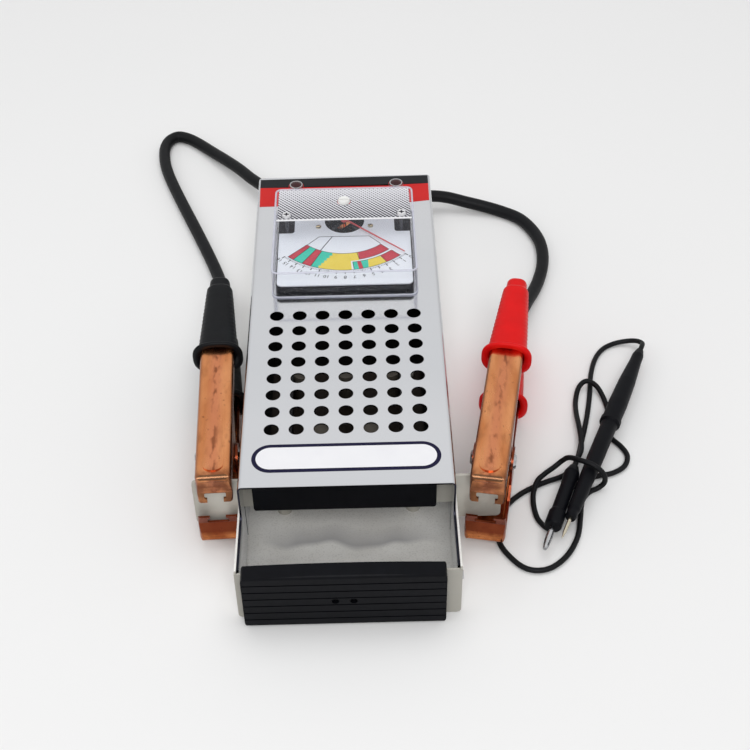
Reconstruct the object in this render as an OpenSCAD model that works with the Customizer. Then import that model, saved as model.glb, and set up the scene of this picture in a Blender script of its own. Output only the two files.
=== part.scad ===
// Hand-held battery load tester lying on its back: a sheet-metal housing with a handle pocket, a push bar
// that switches the load, an analogue meter, two clamps parked on side ears, and a loose test lead.
// Millimetres. Z is up, +Y points to the cable end, and the origin is the middle of the tray's underside.

/* [Housing] */
// Width of the polished front cover
cover_w = 110; // [104:1:118]
// Length from the handle flange to the cable end
body_l = 304; // [296:1:320]
// Height of the front panel above the table
body_h = 58; // [56:1:62]
// Thickness of the sheet metal
sheet = 1; // [0.8:0.1:1.2]
// Gap between the cover's sides and the tray's sides
nest_gap = 0.5; // [0.3:0.1:0.8]
// Outer radius of the folded edges
fold_r = 2.5; // [1.5:0.5:4]
// Length of the open hand pocket
pocket_l = 35.5; // [32:0.5:42]
// Height of the low walls round the hand pocket
pocket_wall_h = 34; // [30:1:36]

/* [Vents] */
// Diameter of a vent hole
vent_d = 8; // [5:0.5:9]
// Distance between vent holes
vent_pitch = 13; // [12:0.5:13.5]
// Number of holes across the panel
vent_cols = 7; // [3:1:7]
// Number of holes along the panel
vent_rows = 8; // [4:1:8]
// Distance of the first row from the panel's pocket edge
vent_from_edge = 40.5; // [36:0.5:42]

/* [Handle grip] */
// Width of the moulded grip
grip_w = 101.5; // [90:0.5:104]
// Height of the moulded grip
grip_h = 38.5; // [37:0.5:41]
// Thickness of the grip in front of the flange
grip_t = 6.5; // [5:0.5:10]
// Radius of the grip's corners
grip_r = 3.5; // [2:0.5:5]
// Rise of the grip's crowned top edge
grip_crown = 1.2; // [0.6:0.2:2]
// Radius of the grip's long front edges
grip_edge_r = 2; // [1:0.5:3]
// Distance of the grip from the middle
grip_shift = -2.2; // [-3:0.1:3]
// Number of finger grooves across the grip
groove_count = 6; // [3:1:7]
// Distance between the two grip screws
grip_screw_gap = 9.2; // [8:0.2:14]
// Diameter of the grip screws' shanks
grip_screw_d = 2.6; // [2:0.2:3.2]

/* [Clamp rest] */
// Width across both ears
rest_span = 160; // [152:1:164]
// Thickness of the ear plate
rest_t = 1.5; // [1.2:0.1:1.8]
// Height of the ears' top edge
rest_top = 47.3; // [46:0.1:48]
// Height of an ear
ear_h = 31.5; // [30:0.5:32]
// Height of the plate's lower edge inside the housing
rest_seat = 27.5; // [26:0.5:29]
// Distance of the plate's middle from the panel's pocket edge
rest_from_edge = 15.5; // [15:0.5:17]

/* [Push bar] */
// Width of the push bar
bar_w = 93; // [80:1:98]
// Height of the push bar
bar_h = 18; // [14:0.5:18]
// Thickness of the push bar
bar_t = 8; // [7:0.5:9]
// Distance of the push bar from the middle
bar_shift = -1.2; // [-2:0.1:2]
// Radius of the push bar's long front edges
bar_edge_r = 1.5; // [1:0.5:2.5]
// Travel of the push bar
bar_travel = 4; // [3:0.5:4]
// Distance between the two guide pins
pin_gap = 60; // [40:1:70]
// Diameter of the guide pins
pin_d = 5; // [4:0.5:5]
// Running clearance of the pins in the plate, on the radius
run_gap = 0.08; // [0.05:0.01:0.1]
// Wire diameter of the return springs
spring_wire = 0.8; // [0.6:0.1:0.9]
// Number of coils of a return spring
spring_turns = 5; // [4:1:6]

/* [Load] */
// Width of the insulating board
board_w = 84; // [80:1:90]
// Length of the insulating board
board_l = 90; // [86:1:94]
// Thickness of the insulating board
board_t = 4; // [3:0.5:5]
// Height of the board's spacers
board_lift = 23; // [20:1:24]
// Height of the load strip
strip_h = 16; // [12:1:18]
// Thickness of the load strip
strip_t = 1; // [0.8:0.1:1.2]
// Distance between the strip's legs
strip_pitch = 12; // [10:0.5:12.5]
// Number of legs of the strip
strip_legs = 6; // [4:2:6]
// Length of a straight leg of the strip
strip_leg_l = 44; // [30:1:46]

/* [Meter] */
// Width of the meter
meter_w = 84; // [80:1:88]
// Length of the meter
meter_l = 82.8; // [80:0.1:90]
// Distance of the meter from the cable end
meter_from_end = 38; // [34:0.1:40]
// Height of the black base above the panel
meter_base_h = 5.5; // [4.5:0.1:6.5]
// Height of the clear cover above the panel
meter_h = 18.3; // [17:0.1:20]
// Radius of the clear cover's upper edges
meter_edge_r = 2; // [1.5:0.1:3]
// Wall thickness of the clear cover
meter_wall = 1.8; // [1.5:0.1:2.2]
// Gap between the clear cover and the base
meter_gap = 0.2; // [0.1:0.05:0.3]
// Diameter of the barrel behind the panel
barrel_d = 62; // [56:1:64]
// Depth of the barrel behind the panel
barrel_depth = 30; // [26:1:32]
// Distance of the needle's pivot from the meter's cable end
pivot_from_end = 18.5; // [18:0.1:19.5]
// Length of the needle from pivot to tip
needle_l = 48.5; // [40:0.5:50]
// Angle of the needle at rest from the meter's centre line
needle_rest = 47; // [44:1:48]
// Radius of the dial's opening round the pivot
dial_hole_r = 12; // [11:0.1:13]

/* [Lamps] */
// Diameter of an indicator lamp
lamp_d = 7; // [6:0.5:7]
// Outer diameter of a lamp's bezel
bezel_d = 9; // [8.5:0.5:10]
// Distance between the lamps
lamp_gap = 63.6; // [56:0.2:66]
// Sideways offset of the pair of lamps
lamp_shift = 1; // [0:0.1:4]
// Distance of the lamps from the cable end
lamp_from_end = 9.5; // [9:0.1:10]

/* [Clamps] */
// Outer width of the upper jaw
jaw_w = 18.6; // [17:0.2:19]
// Thickness of the jaws' sheet
jaw_t = 1.3; // [1:0.1:1.5]
// Gap between the two jaws' side walls
jaw_gap = 0.3; // [0.25:0.05:0.4]
// Distance of the jaw's nose from the rivet
nose_l = 37; // [36.5:0.5:38]
// Height of a jaw's back above the clamp's middle
jaw_h = 24.8; // [24:0.1:25.5]
// Distance of the rivet from the ear plate
rest_to_rivet = 27.5; // [27:0.1:28]
// Gap between a parked jaw and the ear's edge
park_gap = 0.3; // [0.3:0.05:0.5]
// Half of the gap between the teeth of the parked clamp
tooth_gap = 5.75; // [5:0.25:7]
// Distance of the teeth's lip behind the nose
nose_lean = 0.5; // [0.4:0.1:1]
// Depth of the hollow across the jaw's front wall
nose_hollow = 2; // [1.4:0.1:2]
// Outer radius of the jaws' folded edges
jaw_fold_r = 3; // [2:0.25:3]
// Width of the rib pressed into a jaw's back
rib_w = 11; // [9:0.5:11.5]
// Height of the pressed rib
rib_h = 0.9; // [0.6:0.1:1.2]
// Width of the notch's mouth between the teeth
tooth_gap_w = 8.4; // [7:0.2:9]
// Depth of the notch between the teeth
tooth_gap_d = 5.4; // [4.6:0.1:6]
// Diameter of the rivet
rivet_d = 5; // [4:0.5:6]
// Radius of the ears round the rivet
jaw_ear_r = 8; // [7:0.5:9]
// Length of the handles from the rivet
handle_l = 114; // [108:1:114]
// Depth of the handle's channel
handle_depth = 8; // [7:0.5:9]
// Outer width of the handle's channel at its end
handle_end_w = 11.6; // [10:0.2:12]
// Distance of the sleeve's collar from the rivet
sleeve_from = 60; // [54:1:64]
// Distance of the sleeve's end from the rivet
sleeve_to = 124; // [123:1:128]
// Wall thickness of the sleeve
sleeve_wall = 1.6; // [1.4:0.1:1.8]
// Clearance between a sleeve and its handle
sleeve_gap = 0.2; // [0.1:0.05:0.3]
// Height of the sleeve's flared mouth
mouth_h = 17; // [16:0.5:17.5]
// Distance the collar stands out from the sleeve
collar_out = 3; // [2:0.1:3]

/* [Cables] */
// Diameter of the two clamp cables
cable_d = 8; // [7:0.5:8]
// Height of the cable exits
exit_h = 16; // [15:0.5:18]
// Distance between the cable exits
exit_gap = 80; // [70:1:84]
// Length of a strain relief outside the housing
gland_l = 14; // [12:1:18]
// Diameter of a strain relief's collar
gland_d = 17; // [15:0.5:20]

/* [Test lead] */
// Diameter of the test lead's wire
lead_d = 3; // [2.5:0.1:3]
// Length of the probe's front shaft
probe_shaft_l = 80; // [70:1:84]
// Length of the probe's rear cap
probe_cap_l = 59; // [50:1:62]
// Diameter of the probe's collar
probe_collar_d = 12; // [11:0.5:12]
// Length of the bare needle
probe_tip_l = 15; // [10:1:18]
// Length of the plug's moulded body
plug_l = 46; // [40:1:50]
// Diameter of the plug's pin
plug_pin_d = 4; // [4:0.1:4]
// Length of the plug's pin
plug_pin_l = 16; // [14:1:19]

/* [Hidden] */
$fn = 48;
near_y = -body_l / 2;
far_y = body_l / 2;
panel_y = near_y + pocket_l;
panel_under = body_h - sheet;
cover_x = cover_w / 2;
tray_x = cover_x + nest_gap + sheet;
vent_y = panel_y + vent_from_edge;
cut_gap = 0.3;
screw_d = 3.2;
screw_head_d = 6.4;
crown_arc = (grip_w * grip_w / 4 + grip_crown * grip_crown) / (2 * grip_crown);
groove_w = 0.8;
groove_d = 0.4;
groove_from = 6;

rest_y = panel_y + rest_from_edge;
ear_r = 2.5;
slot_w = rest_t + 2 * cut_gap;

bar_front_y = panel_y + 2;
bar_back_y = bar_front_y + bar_t;
bar_top = panel_under - 1.5;
bar_mid_z = bar_top - bar_h / 2;
pocket_depth = 5.5;
spring_d = pin_d + 2 * spring_wire + 0.8;
clip_y = rest_y + rest_t / 2;
bridge_t = 3;
bridge_y = clip_y + 8;
contact_y = bridge_y + bridge_t + bar_travel + cut_gap;
contact_t = 6;
contact_gap = 30;
contact_w = 12;

board_y = contact_y - 3;
board_top = sheet + board_lift + board_t;
board_post_r = 4;
board_inset = 7;
strip_mid_y = board_y + 14 + strip_pitch / 2 + strip_leg_l / 2 + 3;
strip_near_y = strip_mid_y - strip_leg_l / 2 - strip_pitch / 2 - strip_t / 2;
strip_x0 = -(strip_legs - 1) * strip_pitch / 2;
post_r = strip_pitch / 2 - strip_t / 2 - 0.2;

meter_y1 = far_y - meter_from_end;
meter_y0 = meter_y1 - meter_l;
meter_top = body_h + meter_h;
base_top = body_h + meter_base_h;
base_inset = meter_wall + meter_gap;
barrel_y = meter_y1 - barrel_d / 2 - 2;
barrel_floor = body_h - barrel_depth;
pivot_y = meter_y1 - pivot_from_end;
dial_t = 0.8;
dial_top = base_top + dial_t;
dial_w = meter_w - 2 * base_inset - 1;
dial_y0 = meter_y0 + 3.2;
dial_y1 = pivot_y - 3.8;
dial_r = 3;
dial_screw = [15.7, pivot_y - 5.8];
dial_screw_d = 1.6;
needle_z = dial_top + 1.6;
needle_hub_h = 1.8;
needle_w = 0.9;
needle_tip_w = 0.4;
cover_screw = [34.4, meter_y1 - 28.4];
cover_screw_d = 2;
zero_y = meter_y1 - 15;
zero_r = 2;
zero_head_r = 3.8;
magnet_r = 10;
magnet_bore = 7.5;
magnet_top = body_h - 3;
bearing_z = barrel_floor + 6;
bridge_bar_z = needle_z + needle_hub_h / 2 + cut_gap;
stud_x = 12;
stud_d = 4;

lower_w = jaw_w + 2 * (jaw_gap + jaw_t);
nose_y = -nose_l;
clamp_z = rest_top - ear_h / 2;
cavity_z = ear_h / 2 + park_gap;
sleeve_top = jaw_h + sleeve_gap + sleeve_wall;
mouth_w = jaw_w + 2 * (sleeve_gap + sleeve_wall);
mouth_low = sleeve_top - mouth_h;
tail_w = handle_end_w + 2 * (sleeve_gap + sleeve_wall);
handle_under = jaw_h - handle_depth;
sleeve_r = 4;
tail_room = 2;
tail_low = handle_under - sleeve_gap - sleeve_wall - tail_room;
sleeve_axis = (sleeve_top + tail_low) / 2;
collar_t = 2.6;
nub_l = 8;
nub_step = 1.6;
hook_w = 1.4;
hook_h = 2;
hollow_z = 11.5;
nose_r = 2.5;
nose_corner_r = 3.6;
waist_from = jaw_ear_r + 4;
waist_to = jaw_ear_r + 24;
rib_near = nose_y + 4.5;
rib_far = 20;
rib_rise = 0.65;
rib_arc = (rib_w * rib_w / 4 + rib_rise * rib_rise) / (2 * rib_rise);
cavity_r = 6;
// Place across, turn and distance beyond the common rivet line of each parked clamp
black_clamp = [-69.3, 2.3, 3];
red_clamp = [78, -10.8, -2.5];
clamp_pivot_y = rest_y + rest_to_rivet;

gland_hole = gland_d - 5;
jack_r = 5;
lamp_tail = 6;
lamp_rim = 1;
lamp_dome = 1.6;
dome_r = (lamp_d * lamp_d / 4 + lamp_dome * lamp_dome) / (2 * lamp_dome);
probe_front = [118, -99.6, 9.4];
probe_turn = -24;
plug_front = [108.2, -104, 8];
plug_turn = -21.5;
probe_nub_l = 5;
plug_bow = 0.9;
plug_slit = 0.7;

function turn_point(from, angle, out) = from + out * [-sin(angle), cos(angle), 0];

function sleeve_end(place, out) =
  turn_point([place[0], clamp_pivot_y + place[2], clamp_z - sleeve_axis], place[1], sleeve_to + out);

function exit_point(side, out) = [side * exit_gap / 2, far_y + gland_l + out, exit_h];

function probe_end(out) =
  turn_point(probe_front, probe_turn, probe_shaft_l + probe_cap_l + probe_nub_l + out);

function plug_end(out) = turn_point(plug_front, plug_turn, plug_l + out);

// Route points of the black clamp's cable, from the strain relief to the lower sleeve
black_route = concat([exit_point(-1, 0), exit_point(-1, 8)], [
  [-42, 184, 15], [-47, 196, 13.5], [-56, 207, 12], [-66, 220, 10.5], [-76, 235, 9], [-87, 250, 7],
  [-97, 263, 5], [-107, 275, 4], [-116, 283, 4], [-124, 286, 4], [-130, 281, 4], [-132.5, 271, 4],
  [-131.5, 257, 4], [-128, 241, 4], [-121, 220, 4], [-112, 196, 4], [-102, 170, 4], [-93, 146, 4],
  [-85, 123, 4.2], [-79.5, 102, 5.5], [-76, 82, 8.5]
], [sleeve_end(black_clamp, 10), sleeve_end(black_clamp, 0)]);
// Route points of the red clamp's cable, from the strain relief to the lower sleeve
red_route = concat([exit_point(1, 0), exit_point(1, 7)], [
  [43, 182, 15], [50, 189.5, 13.5], [60, 192.5, 12], [70, 192.5, 10.5], [82, 190.5, 8], [95, 188, 5.5],
  [107, 183.5, 4], [118, 175, 4], [125, 163, 4], [129, 149, 4], [129.5, 135, 4], [127.5, 121, 4],
  [123.5, 107, 4.2], [118.5, 94, 5.5], [112.5, 80, 8]
], [sleeve_end(red_clamp, 10), sleeve_end(red_clamp, 0)]);
// Route points of the test lead's wire, from the probe's cap round its loops to the plug
lead_route = concat([probe_end(0), probe_end(4)], [
  [179.5, 40.5, 7.8], [177, 45.5, 5.4], [171.5, 48, 3.2], [164, 47.5, 1.8], [156.5, 43, 1.6],
  [150.5, 34, 1.6], [146, 20, 1.6], [143, 3, 1.6], [139.5, -13, 1.6], [136, -26, 1.6], [133, -36, 1.6],
  [130, -46, 1.6], [126.5, -54.5, 1.6], [119.5, -61.5, 1.6], [107, -67, 1.6], [95, -74, 1.6],
  [86, -83, 1.6], [79.5, -96, 1.6], [80, -109, 1.6], [85, -119, 1.6], [91.5, -126, 1.6], [99, -128, 1.6],
  [107, -125.5, 1.6], [115.5, -117.5, 1.6], [122, -105.5, 1.6], [125, -93, 1.6], [127.5, -81, 1.6],
  [132, -74.5, 1.6], [138, -71.5, 2.2], [141, -70.5, 6], [139.5, -69.8, 12], [134, -67.3, 16],
  [127.5, -63.5, 16], [122.2, -58.5, 13], [119, -56.5, 8.5], [114.5, -58.8, 6], [109, -63, 5.4],
  [104, -68.5, 5.2], [101.2, -76, 3], [100.8, -85, 1.6], [102.5, -94, 1.6], [107.5, -100, 1.6],
  [112.8, -96, 1.6], [114.5, -88, 1.6], [117, -79, 1.6], [121.5, -71.5, 1.6], [129, -67, 1.6],
  [138, -62.5, 1.6], [147, -60.5, 1.6], [154.5, -55.5, 1.6], [157.5, -47.5, 1.6], [155, -40, 1.6],
  [150.5, -33, 1.6], [149.5, -24, 1.6], [151.5, -14, 1.6], [151, -3, 2.2], [147.5, 7, 4.4],
  [142, 11, 5.2], [137, 7.5, 3.6], [134, -2, 1.8], [132.8, -13, 3], [132.5, -25, 5.2], [132.3, -36, 5.6],
  [131, -47, 6.8]
], [plug_end(7), plug_end(3.5), plug_end(0)]);

// Helpers
module across(w) {
  rotate([90, 0, 90])
    translate([0, 0, -w / 2])
      linear_extrude(w)
        children();
}

module rounded(w, l, r) {
  union() {
    square([w - 2 * r, l], center = true);
    square([w, l - 2 * r], center = true);
    for (sx = [-1, 1], sy = [-1, 1])
      translate([sx * (w / 2 - r), sy * (l / 2 - r)])
        circle(r);
  }
}

module along_y(r, l) {
  rotate([-90, 0, 0])
    cylinder(r = r, h = l);
}

function unit(v) = v / norm(v);

function spline_point(a, b, c, d, t) =
  b + (c - a) * t / 2 + (2 * a - 5 * b + 4 * c - d) * t * t / 2 + (3 * b - a - 3 * c + d) * t * t * t / 2;

// A smooth line through the route's points, with the given number of steps between neighbours
function smooth(p, steps) = let (n = len(p) - 1) concat(
  [for (i = [0 : n - 1], s = [0 : steps - 1])
    spline_point(p[max(i - 1, 0)], p[i], p[i + 1], p[min(i + 2, n)], s / steps)],
  [p[n]]);

function tangent(p, i) = unit(p[min(i + 1, len(p) - 1)] - p[max(i - 1, 0)]);

function turned(n, t) = unit(n - t * (n * t));

// Side vectors carried along the line without twist
function sides_of(p, start) =
  [for (i = 0, n = turned(start, tangent(p, 0)); i < len(p);
    n = turned(n, tangent(p, min(i + 1, len(p) - 1))), i = i + 1) n];

module tube(p, d, sides, start = [0, 0, 1]) {
  n = sides_of(p, start);
  last = len(p) - 1;
  points = [for (i = [0 : last], k = [0 : sides - 1])
    let (a = 360 * k / sides)
      p[i] + d / 2 * (cos(a) * n[i] + sin(a) * cross(tangent(p, i), n[i]))];
  walls = [for (i = [0 : last - 1], k = [0 : sides - 1])
    let (a = i * sides + k, b = i * sides + (k + 1) % sides)
      each [[a, a + sides, b], [b, a + sides, b + sides]]];
  caps = [for (k = [1 : sides - 2])
    each [[0, k, k + 1], [last * sides, last * sides + k + 1, last * sides + k]]];
  polyhedron(points, concat(walls, caps));
}

// Least distance between parts of a line that are more than a given number of steps apart, less its diameter
function self_gap(p, d, apart) =
  min([for (i = [0 : len(p) - 1 - apart], j = [i + apart : len(p) - 1]) norm(p[i] - p[j])]) - d;

// Housing
// A folded channel's section, standing open at the top
module channel_section(w, h) {
  difference() {
    union() {
      translate([-w / 2, fold_r])
        square([w, h - fold_r]);
      translate([-w / 2 + fold_r, 0])
        square([w - 2 * fold_r, fold_r]);
      for (s = [-1, 1])
        translate([s * (w / 2 - fold_r), fold_r])
          circle(fold_r);
    }
    translate([-w / 2 + sheet, fold_r])
      square([w - 2 * sheet, h]);
    translate([-w / 2 + fold_r, sheet])
      square([w - 2 * fold_r, h]);
    for (s = [-1, 1])
      translate([s * (w / 2 - fold_r), fold_r])
        circle(fold_r - sheet);
  }
}

module vent_holes() {
  for (i = [0 : vent_cols - 1], j = [0 : vent_rows - 1])
    translate([(i - (vent_cols - 1) / 2) * vent_pitch, vent_y + j * vent_pitch, panel_under - 1])
      cylinder(d = vent_d, h = sheet + 2);
}

module lamp_places() {
  for (s = [-1, 1])
    translate([lamp_shift + s * lamp_gap / 2, far_y - lamp_from_end, 0])
      children();
}

module screw_places() {
  for (y = [near_y + 12, far_y - 70, far_y - 14], s = [-1, 1])
    translate([s * tray_x, y, 15])
      rotate([0, s * 90, 0])
        children();
}

module front_cover() {
  color("#cfd1d4")
    difference() {
      translate([0, far_y, body_h])
        rotate([90, 0, 0])
          linear_extrude(body_l - 2 * sheet)
            mirror([0, 1])
              channel_section(cover_w, body_h - fold_r - cut_gap);
      translate([-cover_w, near_y - 1, pocket_wall_h + sheet])
        cube([2 * cover_w, pocket_l + 1, body_h]);
      vent_holes();
      translate([0, barrel_y, panel_under - 1])
        cylinder(d = barrel_d + 2 * cut_gap, h = sheet + 2);
      lamp_places()
        translate([0, 0, panel_under - 1])
          cylinder(d = lamp_d + 1 + 2 * cut_gap, h = sheet + 2);
      for (s = [-1, 1])
        translate([s * cover_x, rest_y, (rest_top + cut_gap) / 2])
          cube([6 * sheet, slot_w, rest_top + cut_gap], center = true);
      screw_places()
        translate([0, 0, -4])
          cylinder(d = screw_d, h = 8);
    }
}

module base_tray() {
  inner = cover_x - sheet - cut_gap;
  color("#a9a9a5")
    difference() {
      union() {
        translate([0, far_y, 0])
          rotate([90, 0, 0])
            linear_extrude(body_l)
              channel_section(2 * tray_x, pocket_wall_h);
        translate([0, near_y + sheet, pocket_wall_h / 2])
          rotate([90, 0, 0])
            linear_extrude(sheet)
              rounded(2 * tray_x, pocket_wall_h, fold_r);
        translate([0, far_y, panel_under / 2])
          rotate([90, 0, 0])
            linear_extrude(sheet)
              rounded(2 * inner, panel_under, fold_r);
      }
      for (s = [-1, 1])
        translate([s * tray_x, rest_y, rest_seat + pocket_wall_h / 2])
          cube([6 * sheet, slot_w, pocket_wall_h], center = true);
      for (s = [-1, 1])
        translate([s * exit_gap / 2, far_y - 2 * sheet, exit_h])
          along_y(gland_hole / 2, 4 * sheet);
      translate([0, far_y - 2 * sheet, exit_h])
        along_y(jack_r, 4 * sheet);
      screw_places()
        translate([0, 0, -4])
          cylinder(d = screw_d, h = 8);
      for (s = [-1, 1])
        translate([grip_shift + s * grip_screw_gap / 2, near_y - 1, grip_h / 2])
          along_y(grip_screw_d / 2, sheet + 2);
    }
}

module cover_screws() {
  color("#c2c4c8")
    screw_places() {
      cylinder(d1 = screw_head_d, d2 = screw_head_d - 1.8, h = screw_head_d / 4);
      translate([0, 0, -5])
        cylinder(d = screw_d, h = 5);
    }
}

module grip_profile() {
  union() {
    translate([near_y - grip_t, 0])
      square([grip_t, grip_h]);
    translate([near_y - 1, pocket_wall_h])
      square([sheet + 2.5, grip_h - pocket_wall_h]);
    translate([near_y + sheet, grip_h - 9])
      square([1.5, 9]);
  }
}

// The grip, moulded with round front edges, a crowned top and shallow finger grooves
module handle_grip() {
  color("#1d1e21")
    translate([grip_shift, 0, 0])
      difference() {
        intersection() {
          across(grip_w + 2)
            grip_profile();
          across(grip_w + 2)
            translate([near_y, grip_h / 2])
              rounded(2 * grip_t, grip_h, grip_edge_r);
          translate([0, near_y + 10, grip_h / 2])
            rotate([90, 0, 0])
              linear_extrude(grip_t + 20)
                rounded(grip_w, grip_h, grip_r);
          translate([0, near_y - grip_t - 1, grip_h - crown_arc])
            rotate([-90, 0, 0])
              cylinder(r = crown_arc, h = grip_t + 20, $fn = 1440);
        }
        for (i = [0 : groove_count - 1])
          translate([0, near_y - grip_t, groove_from + i * (grip_h - 2 * groove_from) / (groove_count - 1)])
            cube([grip_w + 1, 2 * groove_d, groove_w], center = true);
        for (s = [-1, 1])
          translate([s * grip_screw_gap / 2, near_y - grip_t - 1, grip_h / 2]) {
            along_y(1.9, grip_t - 1.5);
            along_y(grip_screw_d / 2, grip_t + 2);
          }
      }
}

module grip_screws() {
  color("#3a3b3e")
    for (s = [-1, 1])
      translate([grip_shift + s * grip_screw_gap / 2, near_y, grip_h / 2]) {
        translate([0, -2.5, 0])
          along_y(grip_screw_d / 2, 2.5 + sheet + 3);
        translate([0, -4, 0])
          along_y(1.9, 1.5);
      }
}

// Clamp rest and push bar
module rest_outline() {
  inner = cover_x - sheet - cut_gap;
  union() {
    translate([-inner, rest_seat])
      square([2 * inner, panel_under - rest_seat - cut_gap]);
    translate([-rest_span / 2 + ear_r, rest_seat])
      square([rest_span - 2 * ear_r, rest_top - rest_seat]);
    for (s = [-1, 1])
      translate([s * (rest_span / 2 + tray_x + cut_gap) / 2, rest_top - ear_h / 2])
        rounded(rest_span / 2 - tray_x - cut_gap, ear_h, ear_r);
  }
}

module pin_places() {
  for (s = [-1, 1])
    translate([s * pin_gap / 2, 0, bar_mid_z])
      children();
}

module clamp_rest() {
  color("#9c9d9b")
    difference() {
      translate([0, rest_y + rest_t / 2, 0])
        rotate([90, 0, 0])
          linear_extrude(rest_t)
            rest_outline();
      pin_places()
        translate([0, rest_y - rest_t, 0])
          along_y(pin_d / 2 + run_gap, 2 * rest_t);
    }
}

module bar_outline() {
  translate([bar_shift, 0])
    union() {
      rounded(bar_w, bar_h, 3);
      translate([0, bar_h / 4])
        square([bar_w, bar_h / 2], center = true);
    }
}

module push_bar() {
  color("#1a1b1d")
    difference() {
      intersection() {
        translate([0, bar_back_y, bar_mid_z])
          rotate([90, 0, 0])
            linear_extrude(bar_t)
              bar_outline();
        across(2 * bar_w)
          translate([bar_back_y, bar_mid_z])
            rounded(2 * bar_t, bar_h, bar_edge_r);
      }
      pin_places() {
        translate([0, bar_back_y - pocket_depth, 0])
          along_y(spring_d / 2 + 0.3, pocket_depth + 1);
        translate([0, bar_front_y + 1.2, 0])
          along_y(pin_d / 2, bar_t);
      }
    }
}

module guide_pins() {
  color("#b9bbbf")
    pin_places()
      translate([0, bar_front_y + 1.2, 0])
        along_y(pin_d / 2, bridge_y + bridge_t + 1.5 - bar_front_y - 1.2);
}

module pin_clips() {
  color("#8d8f93")
    pin_places()
      translate([0, clip_y + 0.1, 0])
        difference() {
          along_y(pin_d / 2 + 1.8, 1);
          translate([0, -1, 0])
            along_y(pin_d / 2, 3);
        }
}

spring_from = bar_back_y - pocket_depth + spring_wire / 2 + 0.05;
spring_to = rest_y - rest_t / 2 - spring_wire / 2 - 0.05;
spring_line = [for (i = [0 : spring_turns * 10])
  let (a = 36 * i)
    [(pin_d / 2 + 0.3 + spring_wire / 2) * cos(a),
      spring_from + (spring_to - spring_from) * i / (spring_turns * 10),
      (pin_d / 2 + 0.3 + spring_wire / 2) * sin(a)]];
echo(return_spring_gap = self_gap(spring_line, spring_wire, 8));

module return_springs() {
  color("#c6c8cc")
    pin_places()
      tube(spring_line, spring_wire, 6, [1, 0, 0]);
}

module contact_bridge() {
  color("#b8763e")
    difference() {
      translate([-pin_gap / 2 - 5, bridge_y, bar_mid_z - 5])
        cube([pin_gap + 10, bridge_t, 10]);
      pin_places()
        translate([0, bridge_y - 1, 0])
          along_y(pin_d / 2, bridge_t + 2);
    }
}

// Load
module board_places() {
  for (sx = [-1, 1], sy = [-1, 1])
    translate([sx * (board_w / 2 - board_inset), board_y + board_l / 2 + sy * (board_l / 2 - board_inset), 0])
      children();
}

module load_board() {
  color("#4a3626")
    difference() {
      translate([0, board_y + board_l / 2, sheet + board_lift])
        linear_extrude(board_t)
          rounded(board_w, board_l, 4);
      board_places()
        translate([0, 0, sheet + board_lift - 1])
          cylinder(r = 2, h = board_t + 2);
    }
}

module board_posts() {
  color("#b0b2b5")
    board_places() {
      translate([0, 0, sheet])
        cylinder(r = board_post_r, h = board_lift);
      translate([0, 0, sheet])
        cylinder(r = 2, h = board_lift + board_t + 1);
      translate([0, 0, board_top])
        cylinder(r = 3.4, h = 2.4, $fn = 6);
    }
}

module contact_posts() {
  color("#c9a24a")
    for (s = [-1, 1])
      translate([(s * contact_gap - contact_w) / 2, contact_y, board_top]) {
        cube([contact_w, contact_t, bar_mid_z + 5 - board_top]);
        cube([contact_w, strip_near_y - contact_y, 3]);
      }
}

module strip_plan() {
  union() {
    for (i = [0 : strip_legs - 1])
      translate([strip_x0 + i * strip_pitch - strip_t / 2, -strip_leg_l / 2])
        square([strip_t, strip_leg_l]);
    for (i = [0 : strip_legs - 2])
      translate([strip_x0 + (i + 0.5) * strip_pitch, (i % 2 == 0 ? 1 : -1) * strip_leg_l / 2])
        difference() {
          circle(strip_pitch / 2 + strip_t / 2);
          circle(strip_pitch / 2 - strip_t / 2);
          translate([0, (i % 2 == 0 ? -1 : 1) * strip_pitch])
            square(2 * strip_pitch, center = true);
        }
  }
}

module load_strip() {
  color("#8f8a82")
    translate([0, strip_mid_y, board_top])
      linear_extrude(strip_h)
        strip_plan();
}

module strip_posts() {
  color("#e4ddcf")
    for (i = [0 : strip_legs - 2])
      translate([strip_x0 + (i + 0.5) * strip_pitch, strip_mid_y + (i % 2 == 0 ? 1 : -1) * strip_leg_l / 2,
        board_top])
        cylinder(r = post_r, h = strip_h + 3);
}

// Meter
module meter_plan(inset) {
  translate([0, (meter_y0 + meter_y1) / 2])
    rounded(meter_w - 2 * inset, meter_l - 2 * inset, 4 - inset / 2);
}

module meter_base() {
  color("#17181a")
    difference() {
      union() {
        difference() {
          union() {
            translate([0, 0, body_h])
              linear_extrude(meter_base_h)
                meter_plan(base_inset);
            translate([0, barrel_y, barrel_floor])
              cylinder(d = barrel_d, h = barrel_depth + 0.5);
          }
          translate([0, barrel_y, barrel_floor + 3])
            cylinder(d = barrel_d - 4, h = barrel_depth + 10);
        }
        for (s = [-1, 1])
          translate([s * dial_screw[0], dial_screw[1], barrel_floor + 2])
            cylinder(d = dial_screw_d + 4, h = base_top - barrel_floor - 2);
      }
      for (s = [-1, 1]) {
        translate([s * stud_x, barrel_y, barrel_floor - 1])
          cylinder(d = stud_d, h = 6);
        translate([s * cover_screw[0], cover_screw[1], body_h + 0.4])
          cylinder(d = cover_screw_d, h = 10);
        translate([s * dial_screw[0], dial_screw[1], body_h - 3])
          cylinder(d = dial_screw_d, h = 20);
      }
    }
}

// A side of the clear cover, standing on the panel and rounded at the top
module cover_side(l, h, r) {
  union() {
    translate([-l / 2, 0])
      square([l, h - r]);
    translate([-l / 2 + r, 0])
      square([l - 2 * r, h]);
    for (s = [-1, 1])
      translate([s * (l / 2 - r), h - r])
        circle(r);
  }
}

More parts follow.
